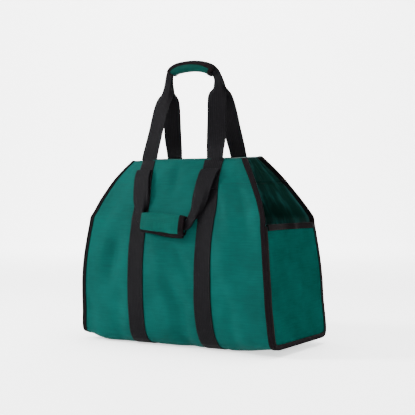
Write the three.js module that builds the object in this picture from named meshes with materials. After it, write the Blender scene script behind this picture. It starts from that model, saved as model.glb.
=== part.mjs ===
// Firewood bag: a soft, open-topped log bag of coated cloth, carried by two long webbing
// handles that meet in one padded grip, with a short handle lying down each side.
// Millimetres, +Z up, +X to the right along the bag, and the front panel faces -Y.
// The origin is on the floor, under the middle of the base.

import * as THREE from 'three';

// Body
const base_length = 600; // end seam to end seam at the floor
const base_depth = 290; // front seam to back seam at the floor
const gusset_height = 320; // floor to the top of an end gusset
const shoulder_length = 548; // end to end at the top of the gussets
const shoulder_depth = 274; // front to back at the top of the gussets
const front_height = 490; // floor to the front top edge
const back_height = 498; // floor to the back top edge
const mouth_length = 366; // corner to corner of a top edge
const mouth_depth = 80; // front corner to back corner
const front_mouth_belly = 42; // the front top edge bows out this far at its middle
const back_mouth_belly = 20; // and the back top edge this far
const wall_belly = 9; // fullness of a wall between its end seams
const shoulder_lean = -7; // the soft bag has slipped to the left by this at the gusset tops
const mouth_lean = -24; // and by this at the mouth
const corner_lift = 20; // the end seams curl up this far off the floor
const left_curl_start = 0.72; // the curl starts at this share of the way to the left end seam
const right_curl_start = 0.52; // and at this share of the way to the right one
const curl_end = 1.08; // and is still rising at the seams
const bottom_round_height = 110; // the walls begin to tuck under at this height
const bottom_round_reach = 75; // and reach the floor this far further in
const soft_corner = 2; // power of the bottom edge's curve to the right, a plain round
const firm_corner = 2.7; // and from the left to the middle
const tight_corner = 7; // and at the end seams, nearly square
const softening_start = -0.1; // shares of the half length between which the one becomes the other
const softening_end = 0.6;
const left_tightening = 2; // power of the change from the one to the other, to the left
const right_tightening = 5; // and to the right
const fold_depth = 7; // of the deepest soft fold
const gusset_dish = 9; // the end gussets are drawn in by this
const gusset_crease = 4; // height of the soft upright crease in a gusset

// Cloth, tape and webbing
const cloth = 1.5;
const hem_width = 70; // the top edge is turned in by this
const tape = 1.2;
const tape_reach = 12; // the edge tape covers this much on each side of a seam
const webbing_width = 50;
const webbing = 1.6; // thickness
const strap_fade = 10; // the base settles back off a strap within this many times its rise
const strap_spacing = 210; // between the middles of the two straps
const clearance = 0.3; // between pieces that touch
const slack = 0.6; // between a grip and the webbing that it holds

// Long handles and their grip
const grip_rise = 258; // front top edge to the middle line of the grip
// Degrees that the legs turn between the top edge and the grip.
const handle_twists = { front: { left: -5, right: 28 }, back: { left: 18, right: 8 } };
const settled_rise = 0.25; // above this share of grip_rise both handles stand alike
const grip_depth_place = -8; // the two handles meet on this line, front to back
const gathered_width = 24; // the webbing is gathered to this in a grip
const gathered_thickness = 3;
const grip_length = 144;
const grip_wall = 6;
const grip_cover = 16; // the grip reaches this far up the gathered webbing
const grip_bevel = 0.7; // its corners are cut by this share of its wall
const grip_sole = 0.2; // and its sole's edges rise by this share of that cut

// Short handles
const short_drop = 136; // from the turn over the strap down to the middle line of the pad
const short_turn_place = 30; // the turn lies this far below the top edge
const short_stitched_length = 45; // sewn to the strap below the turn
const short_turn_radius = 4;
const short_standoff = 13; // the pad's middle hangs this far off the panel
const pad_length = 134;
const pad_height = 52;
const pad_thickness = 17;
const pad_wall = 3.6;
const pad_left_drop = 1.0; // its left end hangs this share of short_drop below the turn
const pad_right_drop = 1.07; // and its right end this share
const pad_narrowing = 0.12; // its ends are drawn in by this share
const pad_end_sharpness = 3; // power of that narrowing along the pad

// Colours
const green = new THREE.Color('#0f6f64');
const deep_green = new THREE.Color('#075a4c');
const black = new THREE.Color('#242224');
const tape_black = new THREE.Color('#2a1f25');

// How a wall stands below the gusset tops. height is a share of gusset_height, narrowing of the
// way from base_length to shoulder_length, closing of the way from base_depth to shoulder_depth,
// lean of shoulder_lean and belly of wall_belly.
const wall_sections = [
  { height: 0.0, narrowing: 0.0, closing: 0.0, lean: 0.0, belly: 1.0 },
  { height: 0.22, narrowing: 0.22, closing: -0.4, lean: 0.2, belly: 1.0 },
  { height: 0.38, narrowing: 0.3, closing: -0.5, lean: 0.7, belly: 1.0 },
  { height: 0.53, narrowing: 0.36, closing: -0.5, lean: 0.9, belly: 1.0 },
  { height: 0.69, narrowing: 0.52, closing: -0.3, lean: 1.0, belly: 0.9 },
  { height: 0.84, narrowing: 0.72, closing: 0.3, lean: 1.05, belly: 0.7 },
  { height: 1.0, narrowing: 1.0, closing: 1.0, lean: 1.0, belly: 0.2 },
];

// How a shoulder stands above the gusset tops. height is a share of the way up to the top edge,
// and the rest are shares of the way from the shoulder's sizes to the mouth's.
const shoulder_sections = [
  { height: 0.0, narrowing: 0.0, closing: 0.0, lean: 0.0, belly: 0.0 },
  { height: 0.09, narrowing: 0.02, closing: 0.03, lean: 0.0, belly: 0.0 },
  { height: 0.18, narrowing: 0.09, closing: 0.11, lean: 0.05, belly: 0.01 },
  { height: 0.35, narrowing: 0.22, closing: 0.28, lean: 0.33, belly: 0.08 },
  { height: 0.53, narrowing: 0.4, closing: 0.45, lean: 0.56, belly: 0.27 },
  { height: 0.71, narrowing: 0.6, closing: 0.63, lean: 0.76, belly: 0.53 },
  { height: 0.88, narrowing: 0.83, closing: 0.83, lean: 0.9, belly: 0.81 },
  { height: 1.0, narrowing: 1.0, closing: 1.0, lean: 1.0, belly: 1.0 },
];

// Soft folds and dents. across is a share of the wall's half length, height of the side's height,
// length and breadth of the side's height, slant is degrees from upright, and depth is a share of
// fold_depth, out of the wall where it is positive.
const front_folds = [
  { across: 0.66, height: 0.83, length: 0.11, breadth: 0.035, slant: -28, depth: -0.8 },
  { across: 0.52, height: 0.8, length: 0.13, breadth: 0.04, slant: -22, depth: 0.7 },
  { across: -0.08, height: 0.3, length: 0.13, breadth: 0.045, slant: -20, depth: -0.8 },
  { across: 0.02, height: 0.16, length: 0.1, breadth: 0.04, slant: 8, depth: -0.6 },
  { across: -0.62, height: 0.47, length: 0.12, breadth: 0.05, slant: 12, depth: -1.0 },
  { across: -0.9, height: 0.22, length: 0.05, breadth: 0.03, slant: -30, depth: -0.5 },
  { across: 0.55, height: 0.5, length: 0.16, breadth: 0.07, slant: -10, depth: 0.7 },
];
const back_folds = [
  { across: -0.55, height: 0.78, length: 0.12, breadth: 0.05, slant: 24, depth: -0.8 },
  { across: 0.1, height: 0.35, length: 0.16, breadth: 0.06, slant: 16, depth: -0.9 },
  { across: 0.68, height: 0.45, length: 0.14, breadth: 0.06, slant: -14, depth: 0.7 },
];

// Rows of the panel grid: shares of the shoulder's height, then of the wall's down to where the
// bottom begins to round, then degrees round the bottom edge, then shares of the way in to the
// middle of the base.
const shoulder_rows = [1, 0.94, 0.88, 0.8, 0.71, 0.66, 0.53, 0.44, 0.35, 0.26, 0.18, 0.09, 0];
const wall_rows = [0.91, 0.75, 0.55, 0.36, 0.18, 0];
const round_rows = [15, 30, 45, 60, 75, 90];
const base_rows = [0.5, 0];
const row_spacing = 5; // a row this near a seam line gives way to it

// Columns outside a strap, as shares of the way from the strap to the edge tape.
const outer_columns = [0.33, 0.68, 1];
const inner_columns = [0, 0.5];

// Middle line of a long handle from its left leg to its right leg. across is a share of half
// strap_spacing from the middle of the mouth, rise of grip_rise above the front top edge, reach of
// the way in from the panel to the line where the handles meet, and gather of the way from the
// webbing's full width to its gathered width.
const handle_line = [
  { across: -0.985, rise: 0.09, reach: 0.09, gather: 0 },
  { across: -0.965, rise: 0.19, reach: 0.22, gather: 0 },
  { across: -0.935, rise: 0.31, reach: 0.36, gather: 0 },
  { across: -0.9, rise: 0.45, reach: 0.5, gather: 0 },
  { across: -0.865, rise: 0.57, reach: 0.63, gather: 0.02 },
  { across: -0.83, rise: 0.67, reach: 0.77, gather: 0.15 },
  { across: -0.8, rise: 0.755, reach: 0.89, gather: 0.5 },
  { across: -0.785, rise: 0.83, reach: 0.97, gather: 0.95 },
  { across: -0.765, rise: 0.895, reach: 1, gather: 1 },
  { across: -0.7, rise: 0.955, reach: 1, gather: 1 },
  { across: -0.58, rise: 0.985, reach: 1, gather: 1 },
  { across: -0.38, rise: 1, reach: 1, gather: 1 },
  { across: -0.12, rise: 1.005, reach: 1, gather: 1 },
  { across: 0.14, rise: 0.998, reach: 1, gather: 1 },
  { across: 0.36, rise: 0.98, reach: 1, gather: 1 },
  { across: 0.54, rise: 0.95, reach: 1, gather: 1 },
  { across: 0.66, rise: 0.905, reach: 1, gather: 1 },
  { across: 0.74, rise: 0.845, reach: 0.98, gather: 0.95 },
  { across: 0.785, rise: 0.77, reach: 0.9, gather: 0.5 },
  { across: 0.81, rise: 0.68, reach: 0.78, gather: 0.15 },
  { across: 0.845, rise: 0.575, reach: 0.63, gather: 0.02 },
  { across: 0.89, rise: 0.45, reach: 0.5, gather: 0 },
  { across: 0.93, rise: 0.31, reach: 0.36, gather: 0 },
  { across: 0.965, rise: 0.19, reach: 0.22, gather: 0 },
  { across: 0.985, rise: 0.09, reach: 0.09, gather: 0 },
];

// Middle line of a short handle as it hangs down its panel, from the left turn to the right turn.
// across is a share of half strap_spacing, drop of short_drop below the turn, and gather as above.
const front_short_line = [
  { across: -1.0, drop: 0.12, gather: 0 },
  { across: -0.995, drop: 0.32, gather: 0 },
  { across: -0.98, drop: 0.52, gather: 0.25 },
  { across: -0.965, drop: 0.7, gather: 0.75 },
  { across: -0.94, drop: 0.85, gather: 1 },
  { across: -0.88, drop: 0.95, gather: 1 },
  { across: -0.76, drop: 1.0, gather: 1 },
  { across: -0.5, drop: 1.01, gather: 0.8 },
  { across: -0.15, drop: 1.03, gather: 0.7 },
  { across: 0.2, drop: 1.05, gather: 0.8 },
  { across: 0.42, drop: 1.07, gather: 1 },
  { across: 0.54, drop: 1.05, gather: 1 },
  { across: 0.63, drop: 0.95, gather: 1 },
  { across: 0.68, drop: 0.84, gather: 0.95 },
  { across: 0.735, drop: 0.67, gather: 0.6 },
  { across: 0.82, drop: 0.47, gather: 0.25 },
  { across: 0.92, drop: 0.24, gather: 0.05 },
  { across: 0.98, drop: 0.08, gather: 0 },
];
const back_short_line = [
  { across: -1.0, drop: 0.12, gather: 0 },
  { across: -0.99, drop: 0.45, gather: 0 },
  { across: -0.96, drop: 0.75, gather: 0.4 },
  { across: -0.88, drop: 0.98, gather: 0.9 },
  { across: -0.7, drop: 1.12, gather: 1 },
  { across: -0.4, drop: 1.2, gather: 0.8 },
  { across: 0, drop: 1.22, gather: 0.7 },
  { across: 0.4, drop: 1.2, gather: 0.8 },
  { across: 0.7, drop: 1.12, gather: 1 },
  { across: 0.88, drop: 0.98, gather: 0.9 },
  { across: 0.96, drop: 0.75, gather: 0.4 },
  { across: 0.99, drop: 0.45, gather: 0 },
  { across: 1.0, drop: 0.12, gather: 0 },
];
const turn_steps = 5;

// Where the two grips start on their handles, as shares of half strap_spacing.
const long_grip_start = -0.71;
const short_grip_start = -0.8;
const pad_steps = 8;

const half_spacing = strap_spacing / 2;
const strap_offset = clearance + webbing;
const up = new THREE.Vector3(0, 0, 1);

const front = { sign: -1, height: front_height, mouth_belly: front_mouth_belly, folds: front_folds };
const back = { sign: 1, height: back_height, mouth_belly: back_mouth_belly, folds: back_folds };

// Reads a table of sections at any height, on a smooth curve through its rows.
function table_reader(table, key) {
  const columns = Object.keys(table[0]).filter((name) => name !== key);
  const places = table.map((row) => row[key]);
  const values = table.flatMap((row) => columns.map((name) => row[name]));
  const curve = new THREE.CubicInterpolant(places, values, columns.length);
  return (place) => {
    const found = curve.evaluate(THREE.MathUtils.clamp(place, places[0], places.at(-1)));
    return Object.fromEntries(columns.map((name, index) => [name, found[index]]));
  };
}

const read_wall = table_reader(wall_sections, 'height');
const read_shoulder = table_reader(shoulder_sections, 'height');

// The body's half length, half depth, lean and belly at a height.
function section_at(side, height) {
  if (height <= gusset_height) {
    const row = read_wall(height / gusset_height);
    return {
      half_length: THREE.MathUtils.lerp(base_length, shoulder_length, row.narrowing) / 2,
      half_depth: THREE.MathUtils.lerp(base_depth, shoulder_depth, row.closing) / 2,
      lean: shoulder_lean * row.lean,
      belly: wall_belly * row.belly,
    };
  }
  const row = read_shoulder((height - gusset_height) / (side.height - gusset_height));
  const low_belly = wall_belly * wall_sections.at(-1).belly;
  return {
    half_length: THREE.MathUtils.lerp(shoulder_length, mouth_length, row.narrowing) / 2,
    half_depth: THREE.MathUtils.lerp(shoulder_depth, mouth_depth, row.closing) / 2,
    lean: THREE.MathUtils.lerp(shoulder_lean, mouth_lean, row.lean),
    belly: THREE.MathUtils.lerp(low_belly, side.mouth_belly, row.belly),
  };
}

// How far the soft folds push the wall out at a place.
function fold_at(side, across, height) {
  let push = 0;
  for (const fold of side.folds) {
    const aside = across - (fold.across * base_length) / 2;
    const above = height - fold.height * side.height;
    const slant = THREE.MathUtils.degToRad(fold.slant);
    const along = (above * Math.cos(slant) + aside * Math.sin(slant)) / (fold.length * side.height);
    const beside = (aside * Math.cos(slant) - above * Math.sin(slant)) / (fold.breadth * side.height);
    push += fold_depth * fold.depth * Math.exp(-along * along - beside * beside);
  }
  return push;
}

// A point of the wall's outer face. across is measured from the middle of the leaning wall.
function wall_point(side, across, height) {
  const section = section_at(side, height);
  const share = across / section.half_length;
  const belly = section.belly * (1 - share * share);
  const fullness = Math.max(0, 1 - share ** 4);
  const depth = section.half_depth + belly + fold_at(side, across, height) * fullness;
  return new THREE.Vector3(section.lean + across, side.sign * depth, height);
}

// How far the bottom stands off the floor: flat in the middle, curling up to the end seams.
function floor_lift(share) {
  const start = share < 0 ? left_curl_start : right_curl_start;
  return corner_lift * THREE.MathUtils.smoothstep(Math.abs(share), start, curl_end);
}

const end_lift = floor_lift(1);

// The panel's places across, from one end seam to the other, for a given half length.
function columns_across(half_length) {
  const near = half_spacing - webbing_width / 2;
  const far = half_spacing + webbing_width / 2;
  const right = inner_columns.map((share) => near * share);
  right.push(near, half_spacing, far);
  const taped = half_length - tape_reach;
  right.push(...outer_columns.map((share) => far + (taped - far) * share), half_length);
  const left = right.slice(1).reverse().map((across) => -across);
  return [...left, ...right];
}

const column_count = columns_across(base_length / 2).length;
const middle_column = (column_count - 1) / 2;
const strap_column = middle_column + inner_columns.length + 1;
const strap_reach = strap_column - middle_column;

// Over a strap the base is held up by the webbing that runs under it.
function strap_lift(column, height) {
  const away = Math.abs(Math.abs(column - middle_column) - strap_reach);
  if (away > 1) return 0;
  return strap_offset * THREE.MathUtils.clamp(1 - height / (strap_offset * strap_fade), 0, 1);
}

// A point of the bottom: a rounded edge that is soft in the middle and tight at the end seams.
function bottom_point(side, column, angle, inward) {
  const start = section_at(side, bottom_round_height);
  const nominal = columns_across(start.half_length)[column];
  const share = nominal / start.half_length;
  const tightness = Math.abs(share) ** (share < 0 ? left_tightening : right_tightening);
  const softening = THREE.MathUtils.smoothstep(share, softening_start, softening_end);
  const softest = THREE.MathUtils.lerp(firm_corner, soft_corner, softening);
  const power = 2 / THREE.MathUtils.lerp(softest, tight_corner, tightness);
  const low = floor_lift(share);
  const turn = THREE.MathUtils.degToRad(angle);
  const above = (bottom_round_height - low) * (1 - Math.sin(turn) ** power);
  const height = low + above;
  const wall = Math.abs(wall_point(side, nominal, bottom_round_height).y);
  const flat = wall - bottom_round_reach;
  const depth = (flat + bottom_round_reach * Math.max(0, Math.cos(turn)) ** power) * inward;
  const section = section_at(side, height);
  const across = columns_across(section.half_length)[column];
  const lift = strap_lift(column, height);
  return new THREE.Vector3(section.lean + across, side.sign * depth, height + lift);
}

// Where a short handle's stitching ends at its turn, and where it begins lower down.
function turn_level(side) {
  return side.height - short_turn_place - short_turn_radius;
}

function stitch_level(side) {
  return turn_level(side) - short_stitched_length;
}

// One side's rows of the panel, from its top edge to the middle of the base.
function side_rows(side) {
  const rows = [];
  const add_wall_row = (height, hem) => {
    const across = columns_across(section_at(side, height).half_length);
    rows.push({ points: across.map((place) => wall_point(side, place, height)), hem });
  };
  const hem_edge = side.height - hem_width;
  const heights = shoulder_rows.map((share) => (
    THREE.MathUtils.lerp(gusset_height, side.height, share)
  ));
  const seams = [hem_edge + cloth, hem_edge, turn_level(side), stitch_level(side)];
  const free = heights.filter((height) => seams.every((seam) => Math.abs(height - seam) > row_spacing));
  const sorted = [...free, ...seams].sort((a, b) => b - a);
  for (const height of sorted) add_wall_row(height, height > hem_edge);
  for (const share of wall_rows) {
    add_wall_row(THREE.MathUtils.lerp(bottom_round_height, gusset_height, share), false);
  }
  const add_bottom_row = (angle, inward) => {
    const points = [];
    for (let column = 0; column < column_count; column += 1) {
      points.push(bottom_point(side, column, angle, inward));
    }
    rows.push({ points, hem: false });
  };
  for (const angle of round_rows) add_bottom_row(angle, 1);
  for (const share of base_rows) add_bottom_row(round_rows.at(-1), share);
  return rows;
}

const front_rows = side_rows(front);
const back_rows = side_rows(back).reverse();
const base_row = front_rows.length - 1;
const panel_rows = [...front_rows, ...back_rows.slice(1)];
const panel_grid = panel_rows.map((row) => row.points);

// Outward directions at the points of a grid whose rows run down the front and up the back.
function grid_normals(grid) {
  return grid.map((row, index) => row.map((point, column) => {
    const before = grid[Math.max(index - 1, 0)][column];
    const after = grid[Math.min(index + 1, grid.length - 1)][column];
    const left = row[Math.max(column - 1, 0)];
    const right = row[Math.min(column + 1, row.length - 1)];
    const along = after.clone().sub(before);
    const across = right.clone().sub(left);
    return along.cross(across).normalize();
  }));
}

const panel_normals = grid_normals(panel_grid);

// A panel vertex moved out of the cloth by a distance, or into the bag where it is negative.
function panel_offset(row, column, distance) {
  return panel_grid[row][column].clone().addScaledVector(panel_normals[row][column], distance);
}

// The wall's thickness at a row: the hem is two layers.
function wall_thickness(row) {
  return panel_rows[row].hem ? cloth * 2 : cloth;
}

function geometry_from(points, triangles) {
  const geometry = new THREE.BufferGeometry();
  const places = points.flatMap((point) => point.toArray());
  geometry.setAttribute('position', new THREE.Float32BufferAttribute(places, 3));
  geometry.setIndex(triangles);
  geometry.computeVertexNormals();
  return geometry;
}

// A closed sheet between two grids of points with the same rows and columns.
function sheet(outer, inner) {
  const row_count = outer.length;
  const width = outer[0].length;
  const points = [...outer.flat(), ...inner.flat()];
  const half = row_count * width;
  const triangles = [];
  const quad = (a, b, c, d) => triangles.push(a, b, d, d, b, c);
  for (let row = 0; row < row_count - 1; row += 1) {
    for (let column = 0; column < width - 1; column += 1) {
      const a = row * width + column;
      const b = a + width;
      quad(a, b, b + 1, a + 1);
      triangles.push(half + a, half + a + 1, half + b);
      triangles.push(half + a + 1, half + b + 1, half + b);
    }
    const left = row * width;
    const right = left + width - 1;
    quad(left, half + left, half + left + width, left + width);
    quad(right, right + width, half + right + width, half + right);
  }
  const last = (row_count - 1) * width;
  for (let column = 0; column < width - 1; column += 1) {
    quad(column + 1, half + column + 1, half + column, column);
    quad(last + column, half + last + column, half + last + column + 1, last + column + 1);
  }
  return geometry_from(points, triangles);
}

// A closed bar whose sections are rings of points, all with the same number of corners. The
// rings turn anticlockwise seen from the end that the bar runs towards.
function bar(rings, end_triangles) {
  const size = rings[0].length;
  const triangles = [];
  for (let ring = 0; ring < rings.length - 1; ring += 1) {
    for (let corner = 0; corner < size; corner += 1) {
      const next = (corner + 1) % size;
      const a = ring * size + corner;
      const b = ring * size + next;
      triangles.push(a, b, b + size, a, b + size, a + size);
    }
  }
  const last = (rings.length - 1) * size;
  for (const [a, b, c] of end_triangles) {
    triangles.push(a, c, b, last + a, last + b, last + c);
  }
  return geometry_from(rings.flat(), triangles);
}

const bag = new THREE.Group();

function add_piece(name, geometry, color, roughness) {
  const material = new THREE.MeshStandardMaterial({ color, roughness, metalness: 0 });
  const mesh = new THREE.Mesh(geometry, material);
  mesh.name = name;
  bag.add(mesh);
}

// Main panel: one length of cloth, down the front, under the base and up the back.
function main_panel() {
  const inner = panel_grid.map((points, row) => (
    points.map((point, column) => panel_offset(row, column, -wall_thickness(row)))
  ));
  return sheet(panel_grid, inner);
}

// Rows of the panel between the top of one gusset edge and the other, by way of the base.
const gusset_top_row = front_rows.findIndex((row) => row.points[0].z <= gusset_height + clearance);
const gusset_end_row = panel_rows.length - 1
  - panel_rows.slice().reverse().findIndex((row) => row.points[0].z <= gusset_height + clearance);

// An end gusset: its edges lie inside the panel's two end seams, it is drawn in at the middle
// and has one soft upright crease.
const gusset_top_gap = tape + clearance;
const gusset_columns = [0.12, 0.25, 0.4, 0.5, 0.58, 0.66, 0.8, 0.9];
const crease_place = 0.58;
const crease_width = 0.08;
const seam_margin = tape_reach + clearance * 4; // flat cloth under the edge tape
const dish_start = 1.5; // the dish starts this many margins above the lifted end seam
const dish_rise = 3; // and is at its full depth a third of the way up

// Where the end seam stands along the bag at a height.
function seam_x(end, side, height) {
  const section = section_at(side, height);
  return section.lean + end * section.half_length;
}

function gusset_row(end, row, inset) {
  const column = end > 0 ? column_count - 1 : 0;
  const mirror_row = gusset_end_row - (row - gusset_top_row);
  const distance = -(cloth + clearance);
  const first = panel_offset(row, column, distance);
  const second = panel_offset(mirror_row, column, distance);
  const top = gusset_height - gusset_top_gap;
  const height = Math.min(first.z, top);
  const whole = Math.abs(second.y - first.y);
  const margin = Math.min(seam_margin / whole, gusset_columns[0]);
  const low = end_lift + seam_margin * dish_start;
  const above = THREE.MathUtils.clamp((height - low) / (top - end_lift), 0, 1);
  const dish = Math.sin((Math.PI / 2) * Math.min(1, above * dish_rise));
  return [0, margin, ...gusset_columns, 1 - margin, 1].map((place) => {
    const inside = THREE.MathUtils.clamp((place - margin) / (1 - margin * 2), 0, 1);
    const hollow = Math.sin(Math.PI * inside) ** 2 * dish * gusset_dish;
    const away = (inside - crease_place) / crease_width;
    const crease = Math.exp(-away * away) * dish * gusset_crease;
    const x = seam_x(end, front, height) + end * (crease - hollow - inset);
    return new THREE.Vector3(x, THREE.MathUtils.lerp(first.y, second.y, place), height);
  });
}

function gusset(end) {
  const rows = [];
  const last_row = base_row - base_rows.length;
  for (let row = gusset_top_row; row < last_row; row += 1) rows.push(row);
  const outer = rows.map((row) => gusset_row(end, row, 0));
  const inner = rows.map((row) => gusset_row(end, row, cloth));
  return end > 0 ? sheet(outer, inner) : sheet(inner, outer);
}

// Edge tape, folded round the free edge of the panel on the shoulders and round the corner of
// panel and gusset below them.
function binding_ring(end, row) {
  const column = end > 0 ? column_count - 1 : 0;
  const next = column - end;
  const corner = panel_grid[row][column];
  const normal = panel_normals[row][column];
  const before = panel_grid[Math.max(row - 1, 0)][column];
  const after = panel_grid[Math.min(row + 1, panel_grid.length - 1)][column];
  const along = after.clone().sub(before).normalize();
  const outward = normal.clone().cross(along).multiplyScalar(end).normalize();
  const near = clearance;
  const far = clearance + tape;
  const thick = wall_thickness(row);
  const place = (out, off) => corner.clone().addScaledVector(outward, out).addScaledVector(normal, off);
  const beside = (off) => panel_offset(row, next, off);
  const on_gusset = (reach, off) => {
    const point = corner.clone().addScaledVector(normal, -reach);
    point.x = seam_x(end, front, point.z) + end * off;
    return point;
  };
  const joined = row >= gusset_top_row && row <= gusset_end_row;
  const turned_in = joined
    ? [on_gusset(thick + far, far), on_gusset(tape_reach, far),
      on_gusset(tape_reach, near), on_gusset(thick + far, near)]
    : [place(far, -thick - far), beside(-thick - far),
      beside(-thick - near), place(near, -thick - near)];
  return [beside(far), place(far, far), ...turned_in, place(near, near), beside(near)];
}

// The end faces of a folded tape, as triangles of its ring's corners.
const tape_end = [[0, 1, 6], [0, 6, 7], [1, 2, 5], [1, 5, 6], [2, 3, 4], [2, 4, 5]];

// A bar of folded tape; the rings of the right-hand end are turned round to face out.
function tape_bar(rings, end) {
  if (end < 0) return bar(rings, tape_end);
  const turned = rings.map((ring) => ring.slice().reverse());
  return bar(turned, tape_end.map(([a, b, c]) => [7 - a, 7 - c, 7 - b]));
}

function binding(end) {
  return tape_bar(panel_grid.map((points, row) => binding_ring(end, row)), end);
}

// Tape folded over the top edge of a gusset, between the two seam tapes.
function gusset_binding(end) {
  const top = gusset_row(end, gusset_top_row, 0);
  const inner = gusset_row(end, gusset_top_row, cloth);
  const slope = seam_x(end, front, top[0].z - tape_reach) - seam_x(end, front, top[0].z);
  const rings = top.slice(1, -1).map((outside, index) => {
    const inside = inner[index + 1];
    const spot = (from, out, rise) => (
      from.clone().add(new THREE.Vector3(end * out + (rise < 0 ? slope : 0), 0, rise))
    );
    const near = clearance;
    const far = clearance + tape;
    return [
      spot(outside, far, -tape_reach), spot(outside, far, far),
      spot(inside, -far, far), spot(inside, -far, -tape_reach),
      spot(inside, -near, -tape_reach), spot(inside, -near, near),
      spot(outside, near, near), spot(outside, near, -tape_reach),
    ];
  });
  return tape_bar(rings, end);
}

// A strip of webbing through stations, each with its middle, its run, the direction across it,
// its width and its thickness.
function strip_rows(stations) {
  const outer = [];
  const inner = [];
  for (const station of stations) {
    const across = station.across.clone().normalize();
    const normal = station.run.clone().cross(across).normalize();
    const places = [-0.5, 0, 0.5].map((share) => (
      station.middle.clone().addScaledVector(across, share * station.width)
    ));
    outer.push(places.map((place) => place.clone().addScaledVector(normal, station.thickness / 2)));
    inner.push(places.map((place) => place.clone().addScaledVector(normal, -station.thickness / 2)));
  }
  return { outer, inner };
}

// Directions along a chain of stations.
function add_runs(stations) {
  stations.forEach((station, index) => {
    const before = stations[Math.max(index - 1, 0)].middle;
    const after = stations[Math.min(index + 1, stations.length - 1)].middle;
    station.run = after.clone().sub(before).normalize();
  });
}

function gathered(share) {
  return {
    width: THREE.MathUtils.lerp(webbing_width, gathered_width, share),
    thickness: THREE.MathUtils.lerp(webbing, gathered_thickness, share),
  };
}

// Shares of grip_rise between which the legs turn, and turn back again.
const twist_start = 0;
const twist_full = 0.3;
const twist_end = 0.62;
const twist_gone = 0.9;

// The free loop of a long handle, above the top edge.
function handle_stations(side) {
  const top_row = side === front ? 0 : panel_rows.length - 1;
  const start = panel_offset(top_row, strap_column, clearance + webbing / 2);
  const meet = grip_depth_place + side.sign * (gathered_thickness / 2 + clearance);
  const stations = handle_line.map((row) => {
    const level = front_height + grip_rise * row.rise;
    const settle = Math.max(0, 1 - row.rise / settled_rise) * (side.height - front_height);
    return {
      middle: new THREE.Vector3(
        mouth_lean + half_spacing * row.across,
        THREE.MathUtils.lerp(start.y, meet, row.reach),
        level + settle,
      ),
      ...gathered(row.gather),
    };
  });
  add_runs(stations);
  stations.forEach((station, index) => {
    const facing = new THREE.Vector3(0, side.sign, 0);
    const { across, rise } = handle_line[index];
    const twists = side.sign < 0 ? handle_twists.front : handle_twists.back;
    const most = across < 0 ? twists.left : twists.right;
    const turning = THREE.MathUtils.smoothstep(rise, twist_start, twist_full);
    const straightening = THREE.MathUtils.smoothstep(rise, twist_end, twist_gone);
    const twist = THREE.MathUtils.degToRad(most * turning * (1 - straightening));
    facing.applyAxisAngle(up, twist);
    station.across = facing.cross(station.run);
  });
  return stations;
}

// Rows of a strap that lies on the panel, between two rows of it.
function strap_rows(middle, first, last, flip) {
  const outer = [];
  const inner = [];
  const step = first < last ? 1 : -1;
  for (let row = first; row !== last + step; row += step) {
    const columns = flip ? [middle + 1, middle, middle - 1] : [middle - 1, middle, middle + 1];
    outer.push(columns.map((column) => panel_offset(row, column, strap_offset)));
    inner.push(columns.map((column) => panel_offset(row, column, clearance)));
  }
  return { outer, inner };
}

// A long handle: one webbing from the middle of the base, up its side, over and down again.
function long_webbing(side) {
  const top_row = side === front ? 0 : panel_rows.length - 1;
  const left_column = column_count - 1 - strap_column;
  const rise = strap_rows(left_column, base_row, top_row, side === front);
  const loop = strip_rows(handle_stations(side));
  const fall = strap_rows(strap_column, top_row, base_row, side === back);
  const outer = [...rise.outer, ...loop.outer, ...fall.outer];
  const inner = [...rise.inner, ...loop.inner, ...fall.inner];
  for (const line of [outer[0], outer.at(-1), inner[0], inner.at(-1)]) {
    for (const point of line) point.y = (side.sign * clearance) / 2;
  }
  return sheet(outer, inner);
}

// A place on the wall by its height, and the direction out of the wall there, which is read
// between places this share of the webbing's width away.
const frame_step = 1 / 3;

function wall_frame(side, across, height) {
  const step = webbing_width * frame_step;
  const point = wall_point(side, across, height);
  const above = wall_point(side, across, height + step);
  const below = wall_point(side, across, height - step);
  const right = wall_point(side, across + step, height);
  const left = wall_point(side, across - step, height);
  const normal = right.sub(left).cross(above.sub(below)).normalize();
  if (side === back) normal.negate();
  return { point, normal };
}

// The panel's row at a height on one side.
function row_at(side, height) {
  const near = (row) => Math.abs(row.points[0].z - height) < clearance;
  return side === front ? panel_rows.findIndex(near) : panel_rows.findLastIndex(near);
}

// The stitched end of a short handle, lying on its strap, and the turn over the top of it.
function turn_rows(side, middle, flip) {
  const columns = flip ? [middle + 1, middle, middle - 1] : [middle - 1, middle, middle + 1];
  const top = row_at(side, turn_level(side));
  const low = row_at(side, stitch_level(side));
  const upward = Math.sign(top - low);
  const seat = strap_offset + clearance;
  const outer = [];
  const inner = [];
  for (let row = low; row !== top + upward; row += upward) {
    outer.push(columns.map((column) => panel_offset(row, column, seat + webbing)));
    inner.push(columns.map((column) => panel_offset(row, column, seat)));
  }
  const bend = short_turn_radius + webbing / 2;
  for (let step = 1; step <= turn_steps; step += 1) {
    const angle = (Math.PI * step) / turn_steps;
    const turned = (column, radius) => {
      const normal = panel_normals[top][column];
      const climb = panel_grid[top + upward][column].clone().sub(panel_grid[top][column]);
      climb.addScaledVector(normal, -climb.dot(normal)).normalize();
      const center = panel_offset(top, column, seat + webbing / 2 + short_turn_radius);
      center.addScaledVector(normal, -radius * Math.cos(angle));
      return center.addScaledVector(climb, radius * Math.sin(angle));
    };
    outer.push(columns.map((column) => turned(column, bend - webbing)));
    inner.push(columns.map((column) => turned(column, bend)));
  }
  return { outer, inner };
}

// Where a short handle's line hangs: its middle and the direction out of the wall.
function short_place(side, row) {
  const turn_height = side.height - short_turn_place;
  const height = turn_height - short_drop * row.drop;
  const frame = wall_frame(side, half_spacing * row.across, height);
  return { middle: frame.point.addScaledVector(frame.normal, short_standoff), normal: frame.normal };
}

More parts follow.
